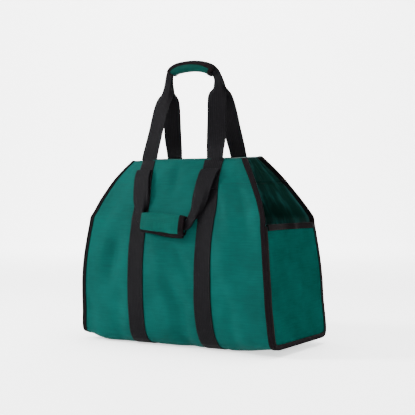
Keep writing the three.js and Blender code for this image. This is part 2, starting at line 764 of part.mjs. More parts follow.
function short_stations(side, line) {
  const hanging = line.map((row) => ({ ...short_place(side, row), ...gathered(row.gather) }));
  add_runs(hanging);
  hanging[0].run = up.clone().negate();
  hanging.at(-1).run = up.clone();
  for (const station of hanging) station.across = station.run.clone().cross(station.normal);
  return hanging;
}

// A short handle: stitched to the left strap, turned over, hanging, and the same on the right.
function short_webbing(side, line) {
  const left = turn_rows(side, column_count - 1 - strap_column, side === front);
  const right = turn_rows(side, strap_column, side === back);
  const hanging = strip_rows(short_stations(side, line));
  const outer = [...left.outer, ...hanging.outer, ...right.outer.reverse()];
  const inner = [...left.inner, ...hanging.inner, ...right.inner.reverse()];
  return sheet(outer, inner);
}

// Padded sleeve of the front short handle: a flattened tube that hangs along the panel.
const pad_corner_steps = 3;

function pad_ring(center, across, normal, height, thickness) {
  const radius = Math.min(thickness, height) / 2 - clearance;
  const ring = [];
  for (let quarter = 0; quarter < 4; quarter += 1) {
    for (let step = 0; step < pad_corner_steps; step += 1) {
      const angle = (Math.PI / 2) * (quarter + step / (pad_corner_steps - 1));
      const side_x = quarter === 0 || quarter === 3 ? 1 : -1;
      const side_y = quarter < 2 ? 1 : -1;
      const x = side_x * (thickness / 2 - radius) + radius * Math.cos(angle);
      const y = side_y * (height / 2 - radius) + radius * Math.sin(angle);
      ring.push(center.clone().addScaledVector(normal, -x).addScaledVector(across, y));
    }
  }
  return ring;
}

// A tube with open ends: outside rings and the rings of its bore, joined at both ends.
function sleeve(outside, bore) {
  const size = outside[0].length;
  const count = outside.length;
  const points = [...outside.flat(), ...bore.flat()];
  const inner = count * size;
  const triangles = [];
  const quad = (a, b, c, d) => triangles.push(a, b, c, a, c, d);
  for (let corner = 0; corner < size; corner += 1) {
    const next = (corner + 1) % size;
    for (let ring = 0; ring < count - 1; ring += 1) {
      const a = ring * size + corner;
      const b = ring * size + next;
      quad(a, b, b + size, a + size);
      quad(inner + a, inner + a + size, inner + b + size, inner + b);
    }
    const last = (count - 1) * size;
    quad(corner, inner + corner, inner + next, next);
    quad(last + corner, last + next, inner + last + next, inner + last + corner);
  }
  return geometry_from(points, triangles);
}

function short_grip() {
  const outside = [];
  const bore = [];
  for (let step = 0; step <= pad_steps; step += 1) {
    const share = step / pad_steps;
    const across = short_grip_start + (share * pad_length) / half_spacing;
    const drop = THREE.MathUtils.lerp(pad_left_drop, pad_right_drop, share);
    const here = short_place(front, { across, drop });
    const swell = 1 - pad_narrowing * Math.abs(2 * share - 1) ** pad_end_sharpness;
    const height = pad_height * swell;
    const thickness = pad_thickness * swell;
    const tall = up.clone().addScaledVector(here.normal, -up.dot(here.normal)).normalize();
    const bore_height = height - pad_wall * 2;
    const bore_thickness = thickness - pad_wall * 2;
    outside.push(pad_ring(here.middle, tall, here.normal, height, thickness));
    bore.push(pad_ring(here.middle, tall, here.normal, bore_height, bore_thickness));
  }
  return sleeve(outside, bore);
}

// The gathered part of the handles' middle line that the long grip holds.
function grip_line() {
  const stations = handle_stations(front);
  const start = mouth_lean + half_spacing * long_grip_start;
  const end = start + grip_length;
  const line = [];
  for (let index = 1; index < stations.length; index += 1) {
    const before = stations[index - 1];
    const after = stations[index];
    for (const x of [start, end]) {
      const share = (x - before.middle.x) / (after.middle.x - before.middle.x);
      const run = after.middle.clone().sub(before.middle).normalize();
      if (share <= 0 || share >= 1) continue;
      line.push({ middle: before.middle.clone().lerp(after.middle, share), run });
    }
    if (after.middle.x > start && after.middle.x < end) line.push(after);
  }
  return line.sort((a, b) => a.middle.x - b.middle.x);
}

// Padded wrap of the long handles: a trough that holds both from below, open along its top.
function long_grip() {
  const inner = gathered_thickness + clearance / 2 + slack;
  const wide = inner + grip_wall;
  const floor = -gathered_width / 2 - slack;
  const top = -gathered_width / 2 + grip_cover;
  const low = floor - grip_wall;
  const round = grip_wall * grip_bevel;
  const sole = low + round * grip_sole;
  const profile = [
    [-wide, top - round / 2], [-wide, floor], [-wide + round, sole],
    [0, low], [wide - round, sole], [wide, floor],
    [wide, top - round / 2], [wide - round, top], [inner, top], [inner, floor],
    [-inner, floor], [-inner, top], [-wide + round, top],
  ];
  const rings = grip_line().map(({ middle, run }) => {
    const rise = new THREE.Vector3(-run.z, 0, run.x).normalize();
    return profile.map(([side, height]) => (
      new THREE.Vector3(middle.x, grip_depth_place + side, middle.z).addScaledVector(rise, height)
    ));
  });
  const ends = [
    [0, 1, 11], [0, 11, 12], [1, 10, 11], [1, 2, 10], [2, 3, 10], [3, 9, 10],
    [3, 4, 9], [4, 5, 9], [5, 8, 9], [5, 6, 8], [6, 7, 8],
  ];
  return bar(rings, ends);
}

add_piece('main_panel', main_panel(), green, 0.75);
for (const [name, end] of [['right', 1], ['left', -1]]) {
  add_piece(`gusset_${name}`, gusset(end), deep_green, 0.75);
  add_piece(`seam_binding_${name}`, binding(end), tape_black, 0.85);
  add_piece(`gusset_binding_${name}`, gusset_binding(end), tape_black, 0.85);
}
add_piece('webbing_front', long_webbing(front), black, 0.85);
add_piece('webbing_back', long_webbing(back), black, 0.85);
add_piece('long_grip', long_grip(), green, 0.75);
add_piece('short_webbing_front', short_webbing(front, front_short_line), black, 0.85);
add_piece('short_grip', short_grip(), green, 0.75);
add_piece('short_webbing_back', short_webbing(back, back_short_line), black, 0.85);

export default bag;
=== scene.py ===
"""The looks of a soft firewood bag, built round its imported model.

Every piece is in metres in the model's own frame: +Z up, +X to the right along the bag and the
front panel facing -Y, with the origin on the floor under the middle of the base.
"""

import logging
import math
from dataclasses import dataclass
from enum import Enum

import bmesh
import bpy
import numpy as np
from mathutils import Matrix, Vector

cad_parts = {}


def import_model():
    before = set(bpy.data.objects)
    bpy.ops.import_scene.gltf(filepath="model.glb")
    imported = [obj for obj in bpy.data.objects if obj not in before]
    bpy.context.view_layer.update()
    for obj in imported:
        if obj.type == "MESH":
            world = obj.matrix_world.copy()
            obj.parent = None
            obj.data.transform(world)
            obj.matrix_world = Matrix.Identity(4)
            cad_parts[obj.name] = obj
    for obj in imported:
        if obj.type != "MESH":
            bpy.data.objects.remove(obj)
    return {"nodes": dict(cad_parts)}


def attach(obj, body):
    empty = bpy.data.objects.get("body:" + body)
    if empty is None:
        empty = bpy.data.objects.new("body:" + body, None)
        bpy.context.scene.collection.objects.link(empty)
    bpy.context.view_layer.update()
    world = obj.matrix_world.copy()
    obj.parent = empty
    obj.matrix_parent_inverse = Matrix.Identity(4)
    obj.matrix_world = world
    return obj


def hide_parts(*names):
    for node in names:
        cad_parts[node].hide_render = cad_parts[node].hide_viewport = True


LOG = logging.getLogger("firewood_bag")
MM = 0.001
BODY = "root"
SIDEWAYS = np.array([0.0, 1.0, 0.0])
UPWARDS = np.array([0.0, 0.0, 1.0])

# Runs down the panel from the front top edge: where the base begins, its middle, the back top edge
FLOOR_RUN = 2.0
BASE_RUN = 3.0
LAST_RUN = 6.0

Amount = float | np.ndarray
Place = tuple[float, float, float]
Socket = bpy.types.NodeSocket


class End(Enum):
    """The two ends of the bag, by the sign of their X."""

    LEFT = -1
    RIGHT = 1


class Slot(Enum):
    """The record's material slots."""

    BODY_CLOTH = "body_cloth"
    GUSSET_CLOTH = "gusset_cloth"
    GRIP_CLOTH = "grip_cloth"
    WEBBING = "webbing"
    EDGE_TAPE = "edge_tape"


# Number helpers


def lerp(low: Amount, high: Amount, share: Amount) -> Amount:
    """A value between low and high at a share of the way."""
    return low + (high - low) * share


def smooth(value: Amount, low: float, high: float) -> np.ndarray:
    """A soft step from 0 at low to 1 at high."""
    share = np.clip((value - low) / (high - low), 0.0, 1.0)
    return share * share * (3.0 - 2.0 * share)


def unit(vectors: np.ndarray) -> np.ndarray:
    """The same directions at length 1."""
    return vectors / np.maximum(np.linalg.norm(vectors, axis=-1, keepdims=True), 1e-12)


def distances(points: np.ndarray) -> np.ndarray:
    """How far along a line each of its points lies."""
    steps = np.linalg.norm(np.diff(points, axis=0), axis=1)
    return np.concatenate([[0.0], np.cumsum(steps)])


def along_line(at: np.ndarray, reach: np.ndarray, values: np.ndarray) -> np.ndarray:
    """The three columns of a table, read straight between its rows."""
    return np.stack([np.interp(at, reach, values[:, axis]) for axis in range(3)], axis=-1)


def placed(ring: np.ndarray, spot: np.ndarray, out: np.ndarray, up: np.ndarray) -> np.ndarray:
    """The points of a ring of out and up pairs, drawn round a spot."""
    return spot + np.outer(ring[:, 0], out) + np.outer(ring[:, 1], up)


@dataclass(frozen=True)
class Curve:
    """A smooth curve through the rows of a table whose first column is the place."""

    rows: tuple[tuple[float, ...], ...]

    def read(self, place: Amount) -> np.ndarray:
        """Reads the curve.

        Args:
            place: where to read it, clamped to the table's first and last rows.

        Returns:
            The other columns, with one row for each place.
        """
        table = np.array(self.rows)
        at, values = table[:, 0], table[:, 1:]
        place = np.clip(np.asarray(place, float), at[0], at[-1])
        right = np.clip(np.searchsorted(at, place, side="right"), 1, len(at) - 1)
        left = right - 1
        low, high = at[left], at[right]
        has_before, has_after = left > 0, right < len(at) - 1
        before = np.where(has_before, left - 1, right)
        after = np.where(has_after, np.minimum(right + 1, len(at) - 1), left)
        half = (high - low) / 2.0
        pull_before = half / (low - at[before])
        pull_after = half / (at[after] - high)
        p = (place - low) / (high - low)
        p2, p3 = p * p, p * p * p
        from_left = (1 + pull_before) * p3 + (-1.5 - 2 * pull_before) * p2
        weights = (
            (before, -pull_before * p3 + 2 * pull_before * p2 - pull_before * p),
            (left, from_left + (pull_before - 0.5) * p + 1),
            (right, (-1 - pull_after) * p3 + (1.5 + pull_after) * p2 + 0.5 * p),
            (after, pull_after * p3 - pull_after * p2),
        )
        return sum(values[row] * weight[..., None] for row, weight in weights)


def curve_through(reach: np.ndarray, *columns: np.ndarray) -> Curve:
    """The curve through columns of values that are given at each reach."""
    return Curve(tuple(map(tuple, np.column_stack([reach, *columns]).tolist())))


def chain(points: np.ndarray, count: int) -> np.ndarray:
    """Evenly spaced points on a smooth line.

    Args:
        points: the points that the line goes through.
        count: how many points to return.

    Returns:
        The points, from the first to the last.
    """
    reach = distances(points)
    return curve_through(reach, points).read(np.linspace(0.0, reach[-1], count))


# The shape of the bag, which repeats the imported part's surface


@dataclass(frozen=True)
class Fold:
    """A soft fold: its place and size are shares of the side, its slant is in degrees."""

    across: float
    height: float
    length: float
    breadth: float
    slant: float
    depth: float


@dataclass(frozen=True)
class Side:
    """The front or the back of the bag."""

    name: str
    sign: int
    height: float
    mouth_belly: float
    folds: tuple[Fold, ...]


# Height, and shares of the change in length and in depth, of the lean and of the belly
WALL_SECTIONS = Curve((
    (0.0, 0.0, 0.0, 0.0, 1.0),
    (0.22, 0.22, -0.4, 0.2, 1.0),
    (0.38, 0.3, -0.5, 0.7, 1.0),
    (0.53, 0.36, -0.5, 0.9, 1.0),
    (0.69, 0.52, -0.3, 1.0, 0.9),
    (0.84, 0.72, 0.3, 1.05, 0.7),
    (1.0, 1.0, 1.0, 1.0, 0.2),
))
SHOULDER_SECTIONS = Curve((
    (0.0, 0.0, 0.0, 0.0, 0.0),
    (0.09, 0.02, 0.03, 0.0, 0.0),
    (0.18, 0.09, 0.11, 0.05, 0.01),
    (0.35, 0.22, 0.28, 0.33, 0.08),
    (0.53, 0.4, 0.45, 0.56, 0.27),
    (0.71, 0.6, 0.63, 0.76, 0.53),
    (0.88, 0.83, 0.83, 0.9, 0.81),
    (1.0, 1.0, 1.0, 1.0, 1.0),
))
# Across, height, length, breadth, slant in degrees, and depth in millimetres
FRONT_FOLDS = (
    (0.69, 0.74, 0.12, 0.028, -25, -6.4),
    (0.55, 0.73, 0.13, 0.036, -22, 4.9),
    (0.05, 0.28, 0.13, 0.04, -30, -5.6),
    (0.11, 0.12, 0.09, 0.035, 12, -4.8),
    (-0.62, 0.47, 0.12, 0.05, 12, -7.0),
    (-0.9, 0.22, 0.05, 0.03, -30, -3.5),
    (0.55, 0.5, 0.16, 0.07, -10, 4.9),
    (-0.12, 0.5, 0.2, 0.05, -18, 2.6),
    (0.16, 0.44, 0.12, 0.03, -34, -2.4),
    (0.62, 0.2, 0.14, 0.035, -20, -2.8),
    (0.8, 0.08, 0.07, 0.025, 30, -2.6),
    (-0.6, 0.16, 0.12, 0.035, 20, -2.6),
    (-0.72, 0.7, 0.1, 0.03, 28, -2.4),
    (0.0, 0.9, 0.09, 0.03, 10, -1.8),
)
BACK_FOLDS = (
    (-0.55, 0.78, 0.12, 0.05, 24, -5.6),
    (0.1, 0.35, 0.16, 0.06, 16, -6.3),
    (0.68, 0.45, 0.14, 0.06, -14, 4.9),
    (-0.62, 0.3, 0.14, 0.035, -18, -2.6),
    (0.05, 0.12, 0.1, 0.035, 25, -2.4),
    (0.6, 0.15, 0.1, 0.03, -28, -2.6),
    (-0.1, 0.62, 0.1, 0.03, -30, -2.2),
)


def folds_of(rows: tuple[tuple[float, ...], ...]) -> tuple[Fold, ...]:
    """Folds from rows of numbers whose depth is in millimetres."""
    return tuple(Fold(*row[:5], depth=row[5] * MM) for row in rows)


@dataclass(frozen=True)
class BagShape:
    """The bag's surface: a panel down the front, under the base and up the back, and two gussets.

    A place on the panel is a column, in metres from the middle where the bottom begins to round,
    and a run from 0 at the front top edge to 6 at the back top edge: one step each for the front
    wall, its bottom edge, the front half of the base, and the same again up the back.
    """

    base_length: float = 0.600
    base_depth: float = 0.290
    gusset_height: float = 0.320
    shoulder_length: float = 0.548
    shoulder_depth: float = 0.274
    mouth_length: float = 0.366
    mouth_depth: float = 0.080
    wall_belly: float = 0.009
    shoulder_lean: float = -0.007
    mouth_lean: float = -0.024
    corner_lift: float = 0.020
    round_height: float = 0.110
    round_reach: float = 0.075
    firm_corner: float = 2.7  # powers of the bottom edge's round: left and middle, right, seams
    soft_corner: float = 2.0
    seam_corner: float = 7.0
    left_tightening: float = 2.0
    right_tightening: float = 5.0
    dish: float = 0.009
    crease: float = 0.0055
    cloth: float = 0.0015
    hem_width: float = 0.070
    strap_gap: float = 0.105
    strap_half: float = 0.025
    strap_rise: float = 0.0019
    fold_gain: float = 2.3
    ripple: float = 0.0009
    clearance: float = 0.0003
    front: Side = Side("front", -1, 0.490, 0.042, folds_of(FRONT_FOLDS))
    back: Side = Side("back", 1, 0.498, 0.020, folds_of(BACK_FOLDS))

    @property
    def sides(self) -> tuple[Side, Side]:
        """The front and the back."""
        return self.front, self.back

    @property
    def round_half(self) -> float:
        """Half the bag's length where the bottom begins to round, which the columns are read at."""
        return float(self.section(self.front, np.array([self.round_height]))[0][0])

    def section(self, side: Side, height: np.ndarray) -> tuple[np.ndarray, ...]:
        """The body's cross-section.

        Args:
            side: the front or the back.
            height: heights over the floor.

        Returns:
            The half length, half depth, lean and belly at each height.
        """
        wall = WALL_SECTIONS.read(height / self.gusset_height)
        rise = (height - self.gusset_height) / (side.height - self.gusset_height)
        top = SHOULDER_SECTIONS.read(rise)
        low_belly = self.wall_belly * 0.2
        below = (
            lerp(self.base_length, self.shoulder_length, wall[..., 0]) / 2,
            lerp(self.base_depth, self.shoulder_depth, wall[..., 1]) / 2,
            self.shoulder_lean * wall[..., 2],
            self.wall_belly * wall[..., 3],
        )
        above = (
            lerp(self.shoulder_length, self.mouth_length, top[..., 0]) / 2,
            lerp(self.shoulder_depth, self.mouth_depth, top[..., 1]) / 2,
            lerp(self.shoulder_lean, self.mouth_lean, top[..., 2]),
            lerp(low_belly, side.mouth_belly, top[..., 3]),
        )
        low = height <= self.gusset_height
        return tuple(np.where(low, lower, upper) for lower, upper in zip(below, above))

    def across(self, column: np.ndarray, half_length: np.ndarray) -> np.ndarray:
        """Where a column stands.

        Args:
            column: the columns.
            half_length: half the bag's length there.

        Returns:
            How far each stands from the leaning middle. The straps keep their places.
        """
        fixed = self.strap_gap + self.strap_half
        size = np.abs(column)
        spread = np.maximum(size - fixed, 0.0) / (self.round_half - fixed)
        return np.sign(column) * (np.minimum(size, fixed) + spread * (half_length - fixed))

    def edge_column(self, reach: float, half_length: np.ndarray) -> np.ndarray:
        """The column that stands a reach in from the end seam where the bag is that long."""
        fixed = self.strap_gap + self.strap_half
        share = (half_length - reach - fixed) / (half_length - fixed)
        return fixed + share * (self.round_half - fixed)

    def ripples(self, across: np.ndarray, height: np.ndarray) -> np.ndarray:
        """The cloth's small unevenness: broad crossed waves with smaller ones between."""
        broad = np.sin(across * 27.0 + height * 11.0) * np.sin(height * 31.0 - across * 7.0 + 1.0)
        small = np.sin(across * 61.0 - height * 35.0) * np.sin(height * 53.0 + 2.0)
        return self.ripple * broad + 0.6 * self.ripple * small

    def fold_push(self, side: Side, across: np.ndarray, height: np.ndarray) -> np.ndarray:
        """How far the ripples and soft folds push the wall out.

        Args:
            side: the front or the back.
            across: places from the leaning middle.
            height: heights over the floor.

        Returns:
            Metres, below 0 where a fold goes in.
        """
        push = self.ripples(across, height)
        for fold in side.folds:
            aside = across - fold.across * self.base_length / 2
            above = height - fold.height * side.height
            slant = math.radians(fold.slant)
            along = (above * math.cos(slant) + aside * math.sin(slant)) / (fold.length * side.height)
            beside = aside * math.cos(slant) - above * math.sin(slant)
            beside = beside / (fold.breadth * side.height)
            push = push + self.fold_gain * fold.depth * np.exp(-along * along - beside * beside)
        return push

    def wall(self, side: Side, across: np.ndarray, height: np.ndarray) -> np.ndarray:
        """Points of the wall's outer face.

        Args:
            side: the front or the back.
            across: places from the leaning middle.
            height: heights over the floor.

        Returns:
            The points.
        """
        half_length, half_depth, lean, belly = self.section(side, height)
        share = np.clip(np.abs(across / half_length), 0.0, 1.0)
        fullness = 1.0 - share**4
        push = self.fold_push(side, across, height)
        depth = half_depth + belly * (1 - share * share) + push * fullness
        return np.stack([lean + across, side.sign * depth, height], axis=-1)

    def floor_lift(self, share: np.ndarray) -> np.ndarray:
        """How far the bottom stands off the floor, curling up to the end seams."""
        left = smooth(np.abs(share), 0.72, 1.08)
        right = smooth(np.abs(share), 0.52, 1.08)
        return self.corner_lift * np.where(share < 0, left, right)

    def round_power(self, share: np.ndarray) -> np.ndarray:
        """How square the bottom edge's round is at shares of the half length, 2 being a circle."""
        soft = lerp(self.firm_corner, self.soft_corner, smooth(share, -0.1, 0.6))
        tightening = np.where(share < 0, self.left_tightening, self.right_tightening)
        return lerp(soft, self.seam_corner, np.abs(share) ** tightening)

    def bottom(
        self, side: Side, column: np.ndarray, turn: np.ndarray, inward: np.ndarray
    ) -> np.ndarray:
        """Points of the bottom.

        Args:
            side: the front or the back.
            column: places across.
            turn: from 0 at the wall to 1 at the floor.
            inward: from 1 at the bottom edge to 0 under the middle of the bag.

        Returns:
            The points.
        """
        share = column / self.round_half
        power = self.round_power(share)
        low = self.floor_lift(share)
        sine, cosine = np.sin(turn * math.pi / 2), np.cos(turn * math.pi / 2)
        reach = (np.abs(sine) ** power + np.abs(cosine) ** power) ** (-1.0 / power)
        height = low + (self.round_height - low) * (1 - np.clip(reach * sine, 0, 1))
        wall = self.wall(side, column, np.full_like(column, self.round_height))
        flat = np.abs(wall[..., 1]) - self.round_reach
        depth = (flat + self.round_reach * np.clip(reach * cosine, 0, 1)) * inward
        half_length, _, lean, _ = self.section(side, height)
        away = np.abs(np.abs(column) - self.strap_gap)
        strap = 1.0 - smooth(away, self.strap_half + 0.002, self.strap_half + 0.022)
        lift = self.strap_rise * strap * np.clip(1 - height / (self.strap_rise * 10), 0, 1)
        x = lean + self.across(column, half_length)
        return np.stack([x, side.sign * depth, height + lift], axis=-1)

    def from_top(self, side: Side, run: Amount) -> Amount:
        """A run counted from a side's own top edge, or such a count turned back into a run."""
        return run if side is self.front else LAST_RUN - run

    def panel(self, column: Amount, run: Amount) -> np.ndarray:
        """Points of the panel's outer face.

        Args:
            column: the columns.
            run: the runs.

        Returns:
            The points, in the shape that the two make together.
        """
        column, run = np.broadcast_arrays(np.asarray(column, float), np.asarray(run, float))
        made = np.zeros((*column.shape, 3))
        for side, here in ((self.front, run <= BASE_RUN), (self.back, run > BASE_RUN)):
            step = np.where(here, self.from_top(side, run), 0.0)
            height = lerp(side.height, self.round_height, np.clip(step, 0, 1))
            half_length = self.section(side, height)[0]
            wall = self.wall(side, self.across(column, half_length), height)
            turn = np.clip(step - 1, 0, 1)
            low = self.bottom(side, column, turn, 1 - np.clip(step - 2, 0, 1))
            points = np.where((step <= 1)[..., None], wall, low)
            made = np.where(here[..., None], points, made)
        return made

    def frame_at(self, column: Amount, run: Amount) -> tuple[np.ndarray, np.ndarray, np.ndarray]:
        """Points of the panel with their directions.

        Args:
            column: the columns.
            run: the runs.

        Returns:
            The points, the directions out of the cloth, and those along the run.
        """
        step, aside = 0.004, 0.001
        later = self.panel(column, np.clip(run + step, 0, LAST_RUN))
        earlier = self.panel(column, np.clip(run - step, 0, LAST_RUN))
        right = self.panel(np.asarray(column) + aside, run)
        left = self.panel(np.asarray(column) - aside, run)
        along = unit(later - earlier)
        return self.panel(column, run), unit(np.cross(along, right - left)), along

    def off_panel(self, column: Amount, run: Amount, distance: Amount) -> np.ndarray:
        """Points of the panel moved out of the cloth, or into the bag where distance is negative."""
        point, normal, _ = self.frame_at(column, run)
        return point + normal * np.asarray(distance)[..., None]

    def run_at(self, side: Side, height: float) -> float:
        """The run of a height on one of the walls."""
        return self.from_top(side, (side.height - height) / (side.height - self.round_height))

    def seam_x(self, end: End, height: np.ndarray) -> np.ndarray:
        """Where the end seam stands along the bag at each height."""
        half_length, _, lean, _ = self.section(self.front, height)
        return lean + end.value * half_length

    def cloth_line(self) -> tuple[np.ndarray, np.ndarray]:
        """Fine runs of the whole panel, and the metres of cloth to each."""
        runs = np.linspace(0, LAST_RUN, 1201)
        return runs, distances(self.panel(np.full_like(runs, 0.05), runs))

    def runs(self, count: int) -> np.ndarray:
        """Runs of the whole panel at even steps of cloth."""
        fine, reach = self.cloth_line()
        return np.interp(np.linspace(0, reach[-1], count), reach, fine)

    def reach_of(self, run: Amount) -> np.ndarray:
        """Metres of cloth from the front top edge to each run."""
        fine, reach = self.cloth_line()
        return np.interp(run, fine, reach)


SHAPE = BagShape()


# Materials


def linear(hex_code: str) -> tuple[float, float, float, float]:
    """A linear colour from an sRGB hex value."""
    channels = [int(hex_code[at:at + 2], 16) / 255 for at in (1, 3, 5)]
    return (*(c / 12.92 if c <= 0.04045 else ((c + 0.055) / 1.055) ** 2.4 for c in channels), 1.0)


def add_node(
    material: bpy.types.Material,
    kind: str,
    inputs: dict[str | int, object] | None = None,
    **settings: object,
) -> bpy.types.Node:
    """Adds a node to a material.

    Args:
        material: the material.
        kind: the node's type, such as ShaderNodeMath.
        inputs: for each input, a value, an output socket that is linked to it, or a node whose
            first output is.
        settings: properties of the node.

    Returns:
        The node.
    """
    node = material.node_tree.nodes.new(kind)
    for name, value in settings.items():
        setattr(node, name, value)
    for name, value in (inputs or {}).items():
        if isinstance(value, bpy.types.Node):
            value = value.outputs[0]
        if isinstance(value, Socket):
            material.node_tree.links.new(value, node.inputs[name])
        else:
            node.inputs[name].default_value = value
    return node


def new_material(name: str) -> tuple[bpy.types.Material, bpy.types.Node]:
    """An empty material and its surface shader."""
    material = bpy.data.materials.new(name)
    material.use_nodes = True
    material.node_tree.nodes.clear()
    shader = add_node(material, "ShaderNodeBsdfPrincipled")
    add_node(material, "ShaderNodeOutputMaterial", {"Surface": shader.outputs["BSDF"]})
    return material, shader


def cloth_places(material: bpy.types.Material) -> tuple[Socket, Socket, Socket]:
    """The piece's own cloth metres: the pair, across and along."""
    places = add_node(material, "ShaderNodeUVMap", uv_map="cloth").outputs["UV"]
    parts = add_node(material, "ShaderNodeSeparateXYZ", {0: places})
    return places, parts.outputs["X"], parts.outputs["Y"]


def ribbed(material: bpy.types.Material, along: Socket, pitch: float) -> bpy.types.Node:
    """Rounded ribs from 0 to 1, at a pitch in metres."""
    turned = {0: along, 1: 2 * math.pi / pitch}
    wave = {0: add_node(material, "ShaderNodeMath", turned, operation="MULTIPLY")}
    ribs = {0: add_node(material, "ShaderNodeMath", wave, operation="SINE"), 1: 0.5, 2: 0.5}
    return add_node(material, "ShaderNodeMath", ribs, operation="MULTIPLY_ADD")


def woven(
    material: bpy.types.Material, places: tuple[Socket, ...], warp: float, weft: float
) -> bpy.types.Node:
    """Ribs across and along, crossed, at pitches in metres."""
    crossed = {0: ribbed(material, places[1], warp), 1: ribbed(material, places[2], weft)}
    return add_node(material, "ShaderNodeMath", crossed, operation="MULTIPLY")


def finish_cloth(
    material: bpy.types.Material,
    shader: bpy.types.Node,
    colours: tuple[str, str, Socket | bpy.types.Node],
    relief: tuple[Socket | bpy.types.Node, float, float],
    polish: tuple[float, float],
) -> None:
    """Gives a material its colours, its relief and its polish.

    Args:
        material: the material.
        shader: its surface shader.
        colours: two hex values, and how far from the first to the second it is.
        relief: the height of its grain, how strongly that shows, and its depth in metres.
        polish: its roughness and its specular level.
    """
    dark, pale, tone = colours
    tones = {"Factor": tone, 6: linear(dark), 7: linear(pale)}
    mix = add_node(material, "ShaderNodeMix", tones, data_type="RGBA")
    height, strength, depth = relief
    grain = {"Height": height, "Strength": strength, "Distance": depth}
    bump = add_node(material, "ShaderNodeBump", grain)
    links = material.node_tree.links
    links.new(mix.outputs[2], shader.inputs["Base Color"])
    links.new(bump.outputs[0], shader.inputs["Normal"])
    shader.inputs["Roughness"].default_value = polish[0]
    shader.inputs["Specular IOR Level"].default_value = polish[1]


@dataclass(frozen=True)
class WovenPolyester:
    """Plain-woven oxford polyester: a matt face of fine crossed threads, with uneven wefts.

    The eye sees faint level lines, soft worn patches and a low sheen on the folds.
    """

    name: str
    colour: str
    shade: str
    thread: float = 0.0016  # twice the real thread spacing, so that it shows
    slub: float = 0.0036  # uneven wefts, which read as faint level lines
    relief: float = 0.00022
    roughness: float = 0.68
    gloss: float = 0.02

    def make(self) -> bpy.types.Material:
        """Builds the material."""
        material, shader = new_material(self.name)
        places = cloth_places(material)
        weave = woven(material, places, self.thread, self.thread)
        drawn = {"Vector": places[0], "Scale": (22.0, 1 / self.slub, 1.0)}
        wefts = {"Vector": add_node(material, "ShaderNodeMapping", drawn), "Scale": 1.0, "Detail": 2.0}
        streaks = add_node(material, "ShaderNodeTexNoise", wefts).outputs["Fac"]
        worn = {"Vector": places[0], "Scale": 9.0, "Detail": 4.0, "Roughness": 0.6}
        patches = add_node(material, "ShaderNodeTexNoise", worn).outputs["Fac"]
        slubs = add_node(material, "ShaderNodeMath", {0: streaks, 1: 0.4}, operation="MULTIPLY")
        threads = {0: weave, 1: 0.35, 2: slubs}
        grain = add_node(material, "ShaderNodeMath", threads, operation="MULTIPLY_ADD")
        patched = {0: patches, 1: 0.9, 2: grain}
        tone = add_node(material, "ShaderNodeMath", patched, operation="MULTIPLY_ADD")
        spread = {"Value": tone, "From Min": 0.45, "From Max": 1.1}
        ramp = add_node(material, "ShaderNodeMapRange", spread)
        finish_cloth(
            material,
            shader,
            (self.shade, self.colour, ramp),
            (grain, 0.6, self.relief),
            (self.roughness, self.gloss),
        )
        return material


@dataclass(frozen=True)
class CoatedLining:
    """The polyurethane-coated inner face: dark, smooth and slightly shiny over small crinkles.

    Its pale grey-green streaks are painted sheen: mixed into its colour from the crinkle noise wherever
    it lies, standing in for reflections of the lights.
    """

    name: str = "polyurethane_coating"
    colour: str = "#011D18"
    # the pale grey-green of the painted sheen streaks
    painted_sheen: str = "#143F3D"
    crinkle: float = 0.024
    thread: float = 0.0016
    relief: float = 0.004
    roughness: float = 0.4
    gloss: float = 0.28

    def make(self) -> bpy.types.Material:
        """Builds the material."""
        material, shader = new_material(self.name)
        places, _, along = cloth_places(material)
        drawn = {"Vector": places, "Scale": (1 / self.crinkle, 12.0, 1.0)}
        creased = {"Vector": add_node(material, "ShaderNodeMapping", drawn), "Scale": 1.0, "Detail": 3.0}
        crinkles = add_node(material, "ShaderNodeTexNoise", creased).outputs["Fac"]
        threads = {0: ribbed(material, along, self.thread), 1: 0.02, 2: crinkles}
        height = add_node(material, "ShaderNodeMath", threads, operation="MULTIPLY_ADD")
        # painted sheen: where the crinkle noise is high the colour turns towards the pale sheen colour
        # in streaks, standing in for reflections
        painted_sheen_spread = {"Value": crinkles, "From Min": 0.5, "From Max": 0.72}
        streaks = add_node(material, "ShaderNodeMapRange", painted_sheen_spread)
        finish_cloth(
            material,
            shader,
            (self.colour, self.painted_sheen, streaks),
            (height, 0.7, self.relief),
            (self.roughness, self.gloss),
        )
        return material


@dataclass(frozen=True)
class RibbedWebbing:
    """Polypropylene webbing: black, woven in lengthwise ribs crossed by close picks.

    The eye sees a dull charcoal face with a fine ladder grain, paler on its raised threads.
    """

    name: str
    colour: str
    shade: str
    rib: float = 0.0050  # lengthwise ribs, drawn at twice their real spacing
    pick: float = 0.0022  # cross picks, drawn at twice their real spacing
    relief: float = 0.0004
    roughness: float = 0.65
    gloss: float = 0.03

    def make(self) -> bpy.types.Material:
        """Builds the material."""
        material, shader = new_material(self.name)
        places = cloth_places(material)
        weave = woven(material, places, self.rib, self.pick)
        fuzz = {"Vector": places[0], "Scale": 160.0, "Detail": 3.0}
        lint = add_node(material, "ShaderNodeTexNoise", fuzz).outputs["Fac"]
        threads = {0: lint, 1: 0.6, 2: weave}
        grain = add_node(material, "ShaderNodeMath", threads, operation="MULTIPLY_ADD")
        finish_cloth(
            material,
            shader,
            (self.shade, self.colour, grain),
            (grain, 0.8, self.relief),
            (self.roughness, self.gloss),
        )
        return material


